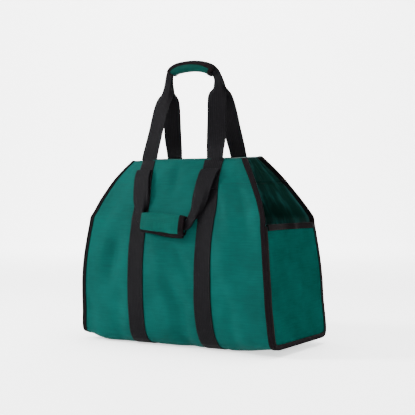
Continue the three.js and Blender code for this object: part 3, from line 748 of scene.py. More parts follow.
@dataclass(frozen=True)
class SewingThread:
    """Bonded polyester thread: small, tight, slightly shiny stitches."""

    name: str
    colour: str

    def make(self) -> bpy.types.Material:
        """Builds the material."""
        material, shader = new_material(self.name)
        shader.inputs["Base Color"].default_value = linear(self.colour)
        shader.inputs["Roughness"].default_value = 0.6
        shader.inputs["Specular IOR Level"].default_value = 0.05
        places = add_node(material, "ShaderNodeTexCoord").outputs["Object"]
        twist = add_node(material, "ShaderNodeTexNoise", {"Vector": places, "Scale": 2500.0})
        plies = {"Height": twist.outputs["Fac"], "Strength": 0.4, "Distance": 0.0001}
        bump = add_node(material, "ShaderNodeBump", plies)
        material.node_tree.links.new(bump.outputs[0], shader.inputs["Normal"])
        return material


@dataclass(frozen=True)
class SeamlessPaper:
    """The studio's white paper sweep: matt, with no grain that the camera sees."""

    name: str = "white_paper"
    colour: str = "#FAFAFA"

    def make(self) -> bpy.types.Material:
        """Builds the material."""
        material, shader = new_material(self.name)
        shader.inputs["Base Color"].default_value = linear(self.colour)
        shader.inputs["Roughness"].default_value = 0.95
        shader.inputs["Emission Color"].default_value = (1.0, 1.0, 1.0, 1.0)
        shader.inputs["Emission Strength"].default_value = 1.15
        return material


class Finishes:
    """Every finish of the bag, made once."""

    def __init__(self) -> None:
        """Builds the materials."""
        self.body = WovenPolyester("green_oxford", "#003B36", "#002825").make()
        # painted shade: the gussets are the body's cloth in a darker colour, for the ends that face away
        # from the key light
        self.gusset = WovenPolyester("green_oxford_gusset_painted_shade", "#003631", "#002420", gloss=0.0).make()
        # painted shade: the short grip's sleeve is the body's cloth painted a little darker
        self.grip = WovenPolyester("green_oxford_grip_painted_shade", "#003933", "#002622", slub=0.003).make()
        # painted shade: the long grip's wrap is the body's cloth darker still, for the shade under the
        # webbing
        self.wrap = WovenPolyester("green_oxford_wrap_painted_shade", "#002E28", "#001D19", slub=0.003).make()
        self.lining = CoatedLining().make()
        self.webbing = RibbedWebbing("black_webbing", "#0D0C0E", "#030304").make()
        self.tape = RibbedWebbing(
            "black_grosgrain", "#0E0A0C", "#050404", rib=0.024, pick=0.0026, gloss=0.01
        ).make()
        self.black_thread = SewingThread("black_thread", "#0A0909").make()
        self.green_thread = SewingThread("green_thread", "#001614").make()


# Mesh helpers


def piece_from(name: str, shape: bmesh.types.BMesh) -> bpy.types.Object:
    """Makes a finished shape a smooth piece of the scene.

    Args:
        name: the piece's name.
        shape: the shape, which is used up.

    Returns:
        The new object.
    """
    for face in shape.faces:
        face.smooth = True
    mesh = bpy.data.meshes.new(name)
    shape.to_mesh(mesh)
    shape.free()
    piece = bpy.data.objects.new(name, mesh)
    bpy.context.scene.collection.objects.link(piece)
    return piece


def grid_piece(
    name: str, points: np.ndarray, cloth: np.ndarray, closed: bool = False
) -> bpy.types.Object:
    """Makes a piece from a grid of points.

    Args:
        name: the piece's name.
        points: rows by columns by 3. The face looks out where rows run along the piece and
            columns run to its right, seen with the first row at the top.
        cloth: rows by columns by 2, each point's place on the cloth in metres.
        closed: whether the last column meets the first.

    Returns:
        The new object.
    """
    rows, columns = points.shape[:2]
    shape = bmesh.new()
    bmesh.ops.create_grid(shape, x_segments=columns - 1, y_segments=rows - 1, size=0.5)
    shape.verts.ensure_lookup_table()
    layer = shape.loops.layers.uv.new("cloth")
    places = {}
    for vert in shape.verts:
        column = round((vert.co.x + 0.5) * (columns - 1))
        row = round((0.5 - vert.co.y) * (rows - 1))
        places[vert] = (row, column)
    for face in shape.faces:
        for loop in face.loops:
            loop[layer].uv = cloth[places[loop.vert]]
    for vert, place in places.items():
        vert.co = points[place]
    if closed:
        bmesh.ops.remove_doubles(shape, verts=shape.verts, dist=1e-6)
    return piece_from(name, shape)


def turn_out(piece: bpy.types.Object, fill: bool = False) -> None:
    """Turns a closed piece's faces out, and fills the open ends of a tube first if asked."""
    shape = bmesh.new()
    shape.from_mesh(piece.data)
    if fill:
        open_edges = [edge for edge in shape.edges if edge.is_boundary]
        bmesh.ops.holes_fill(shape, edges=open_edges, sides=0)
        bmesh.ops.triangulate(shape, faces=[face for face in shape.faces if len(face.verts) > 4])
    bmesh.ops.recalc_face_normals(shape, faces=shape.faces)
    shape.to_mesh(piece.data)
    shape.free()


def thicken(
    piece: bpy.types.Object, thickness: float, inner_slot: int = 0, offset: float = -1.0
) -> None:
    """Gives a sheet its thickness.

    Args:
        piece: the sheet.
        thickness: in metres.
        inner_slot: how many material slots further the inner face's material is.
        offset: -1 where the thickness goes inwards, 0 where it goes both ways.
    """
    solid = piece.modifiers.new("thickness", "SOLIDIFY")
    solid.thickness = thickness
    solid.offset = offset
    solid.use_even_offset = False
    solid.material_offset = inner_slot
    solid.use_rim = True


def dress(piece: bpy.types.Object, *materials: bpy.types.Material) -> None:
    """Gives a piece its materials."""
    for material in materials:
        piece.data.materials.append(material)


def place_piece(
    piece: bpy.types.Object, nodes: tuple[str, ...] = ()
) -> None:
    """Puts a finished piece on the bag.

    Args:
        piece: the piece.
        nodes: the nodes that it stands for.
    """
    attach(piece, BODY)
    if nodes:
        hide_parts(*nodes)
    LOG.info("made %s", piece.name)


def cloth_grid(rows: np.ndarray, columns: np.ndarray) -> np.ndarray:
    """Places on the cloth from distances along and across."""
    across, along = np.meshgrid(columns, rows)
    return np.stack([across, along], axis=-1)


@dataclass(frozen=True)
class Tape:
    """Grosgrain tape, cut to a width and laid on rows of points."""

    material: bpy.types.Material
    width: float
    thickness: float = 0.0012
    offset: float = -1.0

    def lay(
        self,
        name: str,
        points: np.ndarray,
        reach: np.ndarray,
        nodes: tuple[str, ...] = (),
        closed: bool = False,
    ) -> None:
        """Makes a piece of the tape.

        Args:
            name: the piece's name.
            points: rows along the tape by columns across it by 3.
            reach: how far along the tape each row is.
            nodes: the nodes that it stands for.
            closed: whether its two long edges meet.
        """
        cloth = cloth_grid(reach, np.linspace(0, self.width, points.shape[1]))
        piece = grid_piece(name, points, cloth, closed=closed)
        dress(piece, self.material)
        thicken(piece, self.thickness, offset=self.offset)
        place_piece(piece, nodes)


@dataclass(frozen=True)
class StitchLine:
    """A line of lockstitch along a path on the cloth."""

    path: np.ndarray
    normal: np.ndarray
    spacing: float = 0.0050
    length: float = 0.0034
    thread: float = 0.0009

    def add_to(self, shape: bmesh.types.BMesh) -> None:
        """Adds the stitches to a mesh."""
        reach = distances(self.path)
        count = max(int(reach[-1] / self.spacing), 2)
        at = (np.arange(count) + 0.5) * reach[-1] / count
        half = self.length / 2
        middle = along_line(at, reach, self.path)
        normal = unit(along_line(at, reach, self.normal))
        ahead, behind = (along_line(at + step, reach, self.path) for step in (half, -half))
        along = unit(ahead - behind)
        side = unit(np.cross(normal, along))
        size = Matrix.Diagonal((half, self.thread / 2, self.thread * 0.45, 1.0))
        for spot, run, out, aside in zip(middle, along, np.cross(along, side), side):
            turn = Matrix((run, aside, out)).transposed().to_4x4()
            place = Matrix.Translation(Vector(spot)) @ turn @ size
            bmesh.ops.create_icosphere(shape, subdivisions=1, radius=1.0, matrix=place)


def stitch_piece(name: str, lines: list[StitchLine], thread: bpy.types.Material) -> None:
    """Makes one piece of several lines of stitches.

    Args:
        name: the piece's name.
        lines: the lines of stitches.
        thread: the thread's material.
    """
    shape = bmesh.new()
    for line in lines:
        line.add_to(shape)
    piece = piece_from(name, shape)
    dress(piece, thread)
    place_piece(piece)


def folded_profile(reach: float, half: float) -> list[tuple[float, float]]:
    """The cross-section of a tape folded over an edge.

    Args:
        reach: how far down each leg goes.
        half: half the distance between the legs.

    Returns:
        Pairs of aside and rise, from one leg's end to the other's.
    """
    leg = [(half, -reach + reach * step / 4) for step in range(4)]
    angles = [math.pi * step / 6 for step in range(7)]
    turn = [(half * math.cos(angle), half * math.sin(angle)) for angle in angles]
    other = [(-aside, rise) for aside, rise in reversed(leg)]
    return leg + turn + other


def end_cap(rim: np.ndarray, slot: np.ndarray, outward: np.ndarray) -> list[np.ndarray]:
    """Rows of tape from the rim of a padded end in to its slot, just outside it."""
    return [lerp(rim, slot, share) + outward * 0.0012 for share in (0.02, 0.5, 1.0)]


# Sub-assemblies


@dataclass
class BodyCloth:
    """The main panel with its two hems."""

    finishes: Finishes
    columns: int = 110
    rows: int = 330
    hem_rows: int = 26
    stitch_inset: float = 0.004
    stitch_margin: float = 0.012
    flat_area: float = 0.70

    def build(self) -> None:
        """Makes the panel, its hems and their stitches."""
        panel = self.layer("body_panel", SHAPE.runs(self.rows + 1), 0.0)
        dress(panel, self.finishes.body, self.finishes.lining)
        thicken(panel, SHAPE.cloth, inner_slot=1)
        place_piece(panel, ("main_panel",))
        hems = [self.hem(side) for side in SHAPE.sides]
        length = float(SHAPE.reach_of(np.array([LAST_RUN]))[0])
        self.stitch()

    def layer(self, name: str, runs: np.ndarray, off: float) -> bpy.types.Object:
        """Makes a sheet of the panel between its end seams.

        Args:
            name: the sheet's name.
            runs: its rows.
            off: how far out of the panel's face it lies.

        Returns:
            The new object.
        """
        half = SHAPE.round_half
        columns = np.linspace(-half, half, self.columns + 1)
        points = SHAPE.off_panel(columns[None, :], runs[:, None], off)
        return grid_piece(name, points, cloth_grid(SHAPE.reach_of(runs), columns))

    def hem(self, side: Side) -> bpy.types.Object:
        """Makes the turned-in layer along a side's top edge.

        Args:
            side: the front or the back.

        Returns:
            The hem.
        """
        low, top = (SHAPE.run_at(side, side.height - drop) for drop in (SHAPE.hem_width, 0.0))
        runs = np.linspace(min(low, top), max(low, top), self.hem_rows + 1)
        hem = self.layer(f"{side.name}_hem", runs, -SHAPE.cloth)
        dress(hem, self.finishes.lining, self.finishes.lining)
        thicken(hem, SHAPE.cloth)
        place_piece(hem)
        return hem

    def stitch(self) -> None:
        """Sews the hems down, on the outside and on the inside."""
        lines = []
        half = SHAPE.round_half - self.stitch_margin
        column = np.linspace(-half, half, 160)
        for side in SHAPE.sides:
            for drop in (self.stitch_inset, SHAPE.hem_width - self.stitch_inset):
                run = SHAPE.run_at(side, side.height - drop)
                point, normal, _ = SHAPE.frame_at(column, np.full_like(column, run))
                lines.append(StitchLine(point, normal))
                lines.append(StitchLine(point - normal * SHAPE.cloth * 2, -normal))
        stitch_piece("hem_stitches", lines, self.finishes.green_thread)


@dataclass
class Gussets:
    """The two end panels, each with its taped top edge."""

    finishes: Finishes
    columns: int = 60
    rows: int = 70
    cut_height: float = 0.305
    tape: float = 0.0012
    tape_reach: float = 0.012
    tape_width: float = 0.025
    tape_margin: float = 0.042
    crease_place: float = 0.58
    crease_breadth: float = 0.08
    wrinkle_depth: float = 0.0015

    def surface(self, end: End, place: np.ndarray, run: np.ndarray) -> np.ndarray:
        """Points of a gusset's outer face.

        Args:
            end: which end of the bag.
            place: from 0 at the front seam to 1 at the back seam.
            run: runs down the front seam.

        Returns:
            The points.
        """
        column = np.full_like(run, end.value * SHAPE.round_half)
        depth = -(SHAPE.cloth + SHAPE.clearance)
        first = SHAPE.off_panel(column, run, depth)
        second = SHAPE.off_panel(column, LAST_RUN - run, depth)
        top = SHAPE.gusset_height - self.tape - SHAPE.clearance
        height = np.minimum(first[..., 2], top)
        margin = self.tape_reach + SHAPE.clearance * 4
        flat = np.minimum(margin / np.abs(second[..., 1] - first[..., 1]), 0.12)
        low = SHAPE.corner_lift * 0.9
        above = np.clip((height - low - margin * 1.5) / (top - low), 0, 1)
        dish = np.sin(math.pi / 2 * np.minimum(1.0, above * 3))
        inside = np.clip((place - flat) / (1 - flat * 2), 0, 1)
        hollow = np.sin(math.pi * inside) ** 2 * dish * SHAPE.dish
        beside = (inside - self.crease_place) / self.crease_breadth
        crease = np.exp(-(beside**2)) * dish * SHAPE.crease
        out = crease - hollow + self.wrinkles(inside, height)
        x = SHAPE.seam_x(end, height) + end.value * out
        return np.stack([x, lerp(first[..., 1], second[..., 1], place), height], axis=-1)

    def wrinkles(self, inside: np.ndarray, height: np.ndarray) -> np.ndarray:
        """Small upright wrinkles, none at the seams.

        Args:
            inside: from 0 at the front tape to 1 at the back one.
            height: heights over the floor.

        Returns:
            How far they stand out, in metres.
        """
        fade = smooth(height, 0.05, 0.12) * (1 - smooth(height, 0.27, 0.31))
        fade = fade * np.sin(math.pi * inside) ** 2
        wander = 0.25 * np.sin(height * 17.0) + 0.12 * np.sin(height * 41.0)
        waves = np.sin((inside + 0.1 * wander) * 26.0) * (0.6 + 0.4 * np.sin(height * 23.0))
        return self.wrinkle_depth * fade * waves

    def build(self) -> None:
        """Makes both gussets."""
        for end in End:
            self.build_end(end)

    def build_end(self, end: End) -> None:
        """Makes one gusset, its top tape and the tape's stitches."""
        name = end.name.lower()
        top = SHAPE.run_at(SHAPE.front, SHAPE.gusset_height)
        runs = np.linspace(top, FLOOR_RUN, self.rows + 1)
        run, place = np.meshgrid(runs, np.linspace(0, 1, self.columns + 1), indexing="ij")
        if end is End.LEFT:
            place = place[:, ::-1]
        points = self.surface(end, place, run)
        gusset = grid_piece(f"gusset_cloth_{name}", points, points[..., 1:])
        dress(gusset, self.finishes.gusset, self.finishes.lining)
        thicken(gusset, SHAPE.cloth, inner_slot=1)
        place_piece(gusset, (f"gusset_{name}",))
        self.top_tape(end, name, top)

    def top_tape(self, end: End, name: str, top: float) -> None:
        """Makes the tape folded over a gusset's top edge, and its stitches.

        Args:
            end: which end of the bag.
            name: that end's name.
            top: the run of the gusset's top edge.
        """
        place = np.linspace(self.tape_margin, 1 - self.tape_margin, 90)
        edge = self.surface(end, place, np.full_like(place, top))
        out = unit(np.cross(unit(np.gradient(edge, axis=0)), UPWARDS))
        out = out * np.sign(out[:, :1]) * end.value
        low, high = (SHAPE.seam_x(end, np.array([height]))[0] for height in (0.306, 0.318))
        slope = low - high
        thick = SHAPE.cloth / 2 + SHAPE.clearance + self.tape
        columns = []
        for aside, rise in folded_profile(self.tape_reach, thick):
            line = edge + out * (aside - SHAPE.cloth / 2)
            line[:, 2] += rise + self.tape
            line[:, 0] += slope * np.clip(-rise / self.tape_reach, 0, 1)
            columns.append(line)
        points = np.stack(columns, axis=1)
        if end is End.RIGHT:
            points = points[:, ::-1]
        reach = np.abs(edge[:, 1] - edge[0, 1])
        tape = Tape(self.finishes.tape, self.tape_width, self.tape)
        tape.lay(f"gusset_tape_{name}", points, reach, (f"gusset_binding_{name}",))
        lines = []
        for aside in (thick, -thick):
            path = edge + out * (aside - SHAPE.cloth / 2)
            path[:, 2] -= self.tape_reach - 0.003
            path[:, 0] += slope * 0.7
            lines.append(StitchLine(path, out * np.sign(aside)))
        stitch_piece(f"gusset_tape_stitches_{name}", lines, self.finishes.black_thread)


@dataclass(frozen=True)
class Seam:
    """An end seam of the panel: its points and directions, and what the tape holds there.

    Joined is 0 on a free shoulder and 1 where a gusset is sewn in.
    """

    end: End
    runs: np.ndarray
    corner: np.ndarray
    normal: np.ndarray
    outward: np.ndarray
    thick: np.ndarray
    joined: np.ndarray


@dataclass
class SeamTape:
    """The folded tape round each end of the panel, from one mouth corner to the other."""

    finishes: Finishes
    tape: float = 0.0012
    reach: float = 0.012
    width: float = 0.027
    stitch_inset: float = 0.0028
    rows: int = 420

    @property
    def off(self) -> float:
        """How far the tape's outer face stands off the cloth."""
        return SHAPE.clearance + self.tape

    def seam(self, end: End) -> Seam:
        """Reads the seam at one end.

        Args:
            end: which end of the bag.

        Returns:
            The seam, with closer rows round the bottom edges.
        """
        bends = np.concatenate([np.linspace(1, 2, 40), np.linspace(4, 5, 40)])
        runs = np.unique(np.concatenate([SHAPE.runs(self.rows), bends]))
        column = np.full_like(runs, end.value * SHAPE.round_half)
        corner, normal, along = SHAPE.frame_at(column, runs)
        outward = unit(np.cross(normal, along)) * end.value
        height = corner[:, 2]
        top = np.where(runs <= BASE_RUN, SHAPE.front.height, SHAPE.back.height)
        thick = SHAPE.cloth * np.where(height > top - SHAPE.hem_width, 2.0, 1.0)
        joined = 1 - smooth(height, SHAPE.gusset_height - 0.002, SHAPE.gusset_height + 0.006)
        return Seam(end, runs, corner, normal, outward, thick[:, None], joined[:, None])

    def leg(self, seam: Seam, inward: float, off: float) -> np.ndarray:
        """A line on the panel beside the seam.

        Args:
            seam: the seam.
            inward: how far in from it.
            off: how far out of the panel's face.

        Returns:
            The points.
        """
        height = seam.corner[:, 2]
        halves = [SHAPE.section(side, height)[0] for side in SHAPE.sides]
        column = SHAPE.edge_column(inward, np.where(seam.runs <= BASE_RUN, *halves))
        return SHAPE.off_panel(seam.end.value * column, seam.runs, off)

    def inner_leg(self, seam: Seam, inward: float) -> np.ndarray:
        """The same line on a free shoulder's inner face."""
        return self.leg(seam, inward, 0.0) - seam.normal * (seam.thick + self.off)

    def gusset_leg(self, seam: Seam, inward: float) -> np.ndarray:
        """The same line on the gusset."""
        held = seam.corner - seam.normal * inward
        held[:, 0] = SHAPE.seam_x(seam.end, held[:, 2]) + seam.end.value * self.off
        return held

    def columns(self, seam: Seam) -> list[np.ndarray]:
        """The tape's lines along the seam.

        Args:
            seam: the seam.

        Returns:
            The lines, from its edge on the panel, round the seam, to the one inside or on the gusset.
        """
        legs = (self.reach, 0.009, 0.006, 0.003)
        made = [self.leg(seam, inward, self.off) for inward in legs]
        for step in range(7):
            angle = math.pi / 2 - math.pi * step / 6
            wide = seam.thick / 2 + self.off
            free = seam.corner - seam.normal * seam.thick / 2
            free = free + seam.outward * wide * math.cos(angle) + seam.normal * wide * math.sin(angle)
            turn = math.pi / 2 - math.pi / 2 * step / 6
            held = seam.outward * self.off * math.cos(turn) + seam.normal * self.off * math.sin(turn)
            made.append(lerp(free, seam.corner + held, seam.joined))
        for inward in reversed(legs):
            free, held = self.inner_leg(seam, inward), self.gusset_leg(seam, inward)
            made.append(lerp(free, held, seam.joined))
        return made

    def build(self) -> None:
        """Makes both tapes and their stitches."""
        for end in End:
            name = end.name.lower()
            seam = self.seam(end)
            points = np.stack(self.columns(seam), axis=1)
            if end is End.LEFT:
                points = points[:, ::-1]
            tape = Tape(self.finishes.tape, self.width, self.tape)
            reach = SHAPE.reach_of(seam.runs)
            tape.lay(f"seam_tape_{name}", points, reach, (f"seam_binding_{name}",))
            stitch_piece(f"seam_tape_stitches_{name}", self.stitches(seam), self.finishes.black_thread)

    def stitches(self, seam: Seam) -> list[StitchLine]:
        """The stitches along a tape.

        Args:
            seam: the tape's seam.

        Returns:
            A line on the panel, one inside each free shoulder, and one round the gusset.
        """
        inward = self.reach - self.stitch_inset
        lines = [StitchLine(self.leg(seam, inward, self.off), seam.normal)]
        inside = self.inner_leg(seam, inward)
        free = seam.corner[:, 2] > SHAPE.gusset_height + 0.012
        for here in (free & (seam.runs < BASE_RUN), free & (seam.runs > BASE_RUN)):
            lines.append(StitchLine(inside[here], -seam.normal[here]))
        held = self.gusset_leg(seam, inward)[~free]
        lines.append(StitchLine(held, np.tile([float(seam.end.value), 0.0, 0.0], (len(held), 1))))
        return lines


# Along, up, towards the other handle, and how far its edges are folded in
HANDLE_LINE = (
    (-0.985, 0.09, 0.09, 0), (-0.965, 0.19, 0.22, 0), (-0.935, 0.31, 0.36, 0),
    (-0.9, 0.45, 0.5, 0), (-0.865, 0.57, 0.63, 0.02), (-0.83, 0.67, 0.77, 0.15),
    (-0.8, 0.755, 0.89, 0.5), (-0.785, 0.83, 0.97, 0.95), (-0.765, 0.895, 1, 1),
    (-0.7, 0.955, 1, 1), (-0.58, 0.985, 1, 1), (-0.38, 1, 1, 1), (-0.12, 1.005, 1, 1),
    (0.14, 0.998, 1, 1), (0.36, 0.98, 1, 1), (0.54, 0.95, 1, 1), (0.66, 0.905, 1, 1),
    (0.74, 0.845, 0.98, 0.95), (0.785, 0.77, 0.9, 0.5), (0.81, 0.68, 0.78, 0.15),
    (0.845, 0.575, 0.63, 0.02), (0.89, 0.45, 0.5, 0), (0.93, 0.31, 0.36, 0),
    (0.965, 0.19, 0.22, 0), (0.985, 0.09, 0.09, 0),
)
# Along, down, and how far its edges are folded in
FRONT_SHORT_LINE = (
    (-1.0, 0.12, 0), (-0.995, 0.32, 0), (-0.98, 0.52, 0.04), (-0.965, 0.7, 0.22),
    (-0.94, 0.85, 0.7), (-0.88, 0.95, 1), (-0.76, 1.0, 1), (-0.5, 1.01, 1),
    (-0.15, 1.03, 1), (0.2, 1.05, 1), (0.42, 1.07, 1), (0.54, 1.05, 1),
    (0.63, 0.95, 0.8), (0.68, 0.84, 0.5), (0.735, 0.67, 0.25), (0.82, 0.47, 0.1),
    (0.92, 0.24, 0), (0.98, 0.08, 0),
)
BACK_SHORT_LINE = (
    (-1.0, 0.12, 0), (-0.99, 0.45, 0), (-0.96, 0.75, 0.4), (-0.88, 0.98, 0.9),
    (-0.7, 1.12, 1), (-0.4, 1.2, 0.8), (0, 1.22, 0.7), (0.4, 1.2, 0.8), (0.7, 1.12, 1),
    (0.88, 0.98, 0.9), (0.96, 0.75, 0.4), (0.99, 0.45, 0), (1.0, 0.12, 0),
)


@dataclass(frozen=True)
class Webbing:
    """A strip of webbing, whose edges fold back where it is gathered."""

    width: float = 0.050
    thickness: float = 0.0016
    flat_share: float = 0.40
    turn_share: float = 0.16
    fold_angle: float = math.radians(168)
    columns: int = 24

    def places(self, flip: bool = False) -> np.ndarray:
        """Places across the strip, from its left edge to its right one unless flipped."""
        at = np.linspace(-self.width / 2, self.width / 2, self.columns + 1)
        return -at if flip else at

    def profile(self, gather: float) -> np.ndarray:
        """The strip's cross-section.

        Args:
            gather: from 0 where it lies flat to 1 where its edges are folded back.

        Returns:
            Places across and depths behind, from one edge to the other.
        """
        half = self.width / 2
        fine = np.linspace(0, half, 161)
        flat = half * self.flat_share
        angle = gather * self.fold_angle * smooth(fine, flat, flat + half * self.turn_share)
        step = fine[1] - fine[0]
        aside = np.concatenate([[0], np.cumsum(np.cos(angle[:-1]) * step)])
        behind = np.concatenate([[0], np.cumsum(np.sin(angle[:-1]) * step)])
        at = self.places()
        size = np.abs(at)
        across = np.sign(at) * np.interp(size, fine, aside)
        return np.stack([across, np.interp(size, fine, behind)], axis=-1)

    def rows(
        self, middles: np.ndarray, across: np.ndarray, gather: np.ndarray, fold_side: float = 1.0
    ) -> np.ndarray:
        """Points of the strip's outer face.

        Args:
            middles: points of its middle line.
            across: the direction across it at each.
            gather: from 0 where it lies flat to 1 where its edges are folded back.
            fold_side: 1 where its edges fold behind the outer face, -1 where they fold before it.

        Returns:
            Rows by columns by 3.
        """
        run = unit(np.gradient(middles, axis=0))
        side = unit(across - run * np.sum(across * run, axis=1, keepdims=True))
        behind = -unit(np.cross(run, side)) * fold_side
        profiles = [self.profile(float(share)) for share in gather]
        return np.stack([placed(*row) for row in zip(profiles, middles, side, behind)])

    def on_panel(self, column: float, runs: np.ndarray, off: float, flip: bool) -> np.ndarray:
        """Rows of the strip where it lies on the panel.

        Args:
            column: the column of its middle line.
            runs: the runs of its rows.
            off: how far out of the panel's face it lies.
            flip: whether it is seen from below, with its columns the other way.

        Returns:
            Rows by columns by 3.
        """
        return SHAPE.off_panel(column + self.places(flip)[None, :], runs[:, None], off)

    def piece(
        self, name: str, points: np.ndarray, material: bpy.types.Material, offset: float = -1.0
    ) -> bpy.types.Object:
        """Makes the strip.

        Args:
            name: the piece's name.
            points: its rows.
            material: its finish.
            offset: -1 where its thickness goes inwards, 0 where it goes both ways.

        Returns:
            The new object.
        """
        reach = distances(points[:, points.shape[1] // 2])
        cloth = cloth_grid(reach, np.linspace(0, self.width, points.shape[1]))
        strip = grid_piece(name, points, cloth)
        dress(strip, material)
        thicken(strip, self.thickness, offset=offset)
        return strip


WEBBING = Webbing()


@dataclass
class LongHandles:
    """The two long webbings, sewn up the walls, over as handles and into one grip."""

    finishes: Finishes
    rise: float = 0.258
    meet: float = -0.008
    seat: float = 0.0019
    grip_gap: float = 0.0036
    front_twists: tuple[float, float] = (math.radians(-5), math.radians(28))
    back_twists: tuple[float, float] = (math.radians(18), math.radians(8))
    twist_full: float = 0.3
    twist_end: float = 0.62
    twist_gone: float = 0.9
    stitch_aside: float = 0.0215
    panel_rows: int = 170
    loop_rows: int = 230

    def line(self, side: Side) -> tuple[np.ndarray, np.ndarray]:
        """The middle line of a side's free loop above the top edge.

        Args:
            side: the front or the back.

        Returns:
            Its points, and how far its edges are folded in at each.
        """
        table = np.array(HANDLE_LINE)
        edge = SHAPE.from_top(side, np.array([0.05, 0.0]))
        left, right = (SHAPE.off_panel(sign * SHAPE.strap_gap, edge, self.seat) for sign in (-1, 1))
        settle = np.maximum(0, 1 - table[:, 1] * 4) * (side.height - SHAPE.front.height)
        middles = np.stack([
            SHAPE.mouth_lean + SHAPE.strap_gap * table[:, 0],
            lerp(left[1, 1], self.meet + side.sign * self.grip_gap, table[:, 2]),
            SHAPE.front.height + self.rise * table[:, 1] + settle,
        ], axis=-1)
        points = np.concatenate([left, middles, right[::-1]])
        reach = distances(points)
        line = curve_through(reach, points, np.pad(table[:, 3], 2))
        made = line.read(np.linspace(reach[1], reach[-2], self.loop_rows))
        return made[:, :3], np.clip(made[:, 3], 0, 1)

    def facing(self, side: Side, middle: np.ndarray) -> np.ndarray:
        """Where the webbing's outer face looks, as its legs turn between the top edge and the grip.

        Args:
            side: the front or the back.
            middle: points of its middle line.

        Returns:
            The level direction at each point.
        """
        rise = (middle[:, 2] - SHAPE.front.height) / self.rise
        left = middle[:, 0] < SHAPE.mouth_lean
        twists = self.front_twists if side is SHAPE.front else self.back_twists
        fade = 1 - smooth(rise, self.twist_end, self.twist_gone)
        turn = np.where(left, *twists) * smooth(rise, 0.0, self.twist_full) * fade
        return side.sign * np.stack([-np.sin(turn), np.cos(turn), np.zeros(len(turn))], axis=-1)

    def build(self) -> None:
        """Makes both webbings and sews them on."""
        fine = SHAPE.runs(self.panel_rows * 2)
        for side in SHAPE.sides:
            front = side is SHAPE.front
            mine = fine[fine < BASE_RUN][::-1] if front else fine[fine > BASE_RUN]
            rising = np.concatenate([[BASE_RUN], mine[:-1]])
            middle, gather = self.line(side)
            across = np.cross(self.facing(side, middle), unit(np.gradient(middle, axis=0)))
            points = np.concatenate([
                WEBBING.on_panel(-SHAPE.strap_gap, rising, self.seat, flip=front),
                WEBBING.rows(middle, across, gather),
                WEBBING.on_panel(SHAPE.strap_gap, rising[::-1], self.seat, flip=not front),
            ])
            webbing = WEBBING.piece(f"long_webbing_{side.name}", points, self.finishes.webbing)
            place_piece(webbing, (f"webbing_{side.name}",))
        self.stitch()

    def stitch(self) -> None:
        """Sews each strap on the panel with two lines of stitches."""
        lines = []
        runs = SHAPE.runs(500)[6:-6]
        for column in (-SHAPE.strap_gap, SHAPE.strap_gap):
            for aside in (-self.stitch_aside, self.stitch_aside):
                point, normal, _ = SHAPE.frame_at(np.full_like(runs, column + aside), runs)
                lines.append(StitchLine(point + normal * self.seat, normal))
        stitch_piece("strap_stitches", lines, self.finishes.black_thread)


def inflate(piece: bpy.types.Object, pressure: float, cap: float) -> None:
    """Puffs a padded piece up with a cloth simulation, and keeps the result as its mesh.

    Args:
        piece: a closed mesh with small, even faces.
        pressure: the air pressure inside it.
        cap: how far a point may move, in metres.
    """
    last_frame = 20
    start = np.array([vert.co[:] for vert in piece.data.vertices])
    cloth = piece.modifiers.new("padding", "CLOTH")
    settings = cloth.settings
    settings.quality = 6
    settings.mass = 0.2
    settings.tension_stiffness = 12
    settings.compression_stiffness = 12
    settings.bending_stiffness = 0.4
    settings.use_pressure = True
    settings.uniform_pressure_force = pressure
    settings.shrink_min = 0.0
    settings.effector_weights.gravity = 0.0
    cloth.collision_settings.use_collision = False
    cloth.point_cache.frame_start = 1
    cloth.point_cache.frame_end = last_frame
    for frame_number in range(1, last_frame + 1):
        bpy.context.scene.frame_set(frame_number)
    view = bpy.context.evaluated_depsgraph_get()
    shaped = piece.evaluated_get(view)
    moved = np.array([vert.co[:] for vert in shaped.data.vertices])
    piece.modifiers.remove(cloth)
    bpy.context.scene.frame_set(1)
    step = moved - start
    size = np.linalg.norm(step, axis=1, keepdims=True)
    held = start + step * np.minimum(1.0, cap / np.maximum(size, 1e-9))
    piece.data.vertices.foreach_set("co", held.astype(np.float32).ravel())
    piece.data.update()


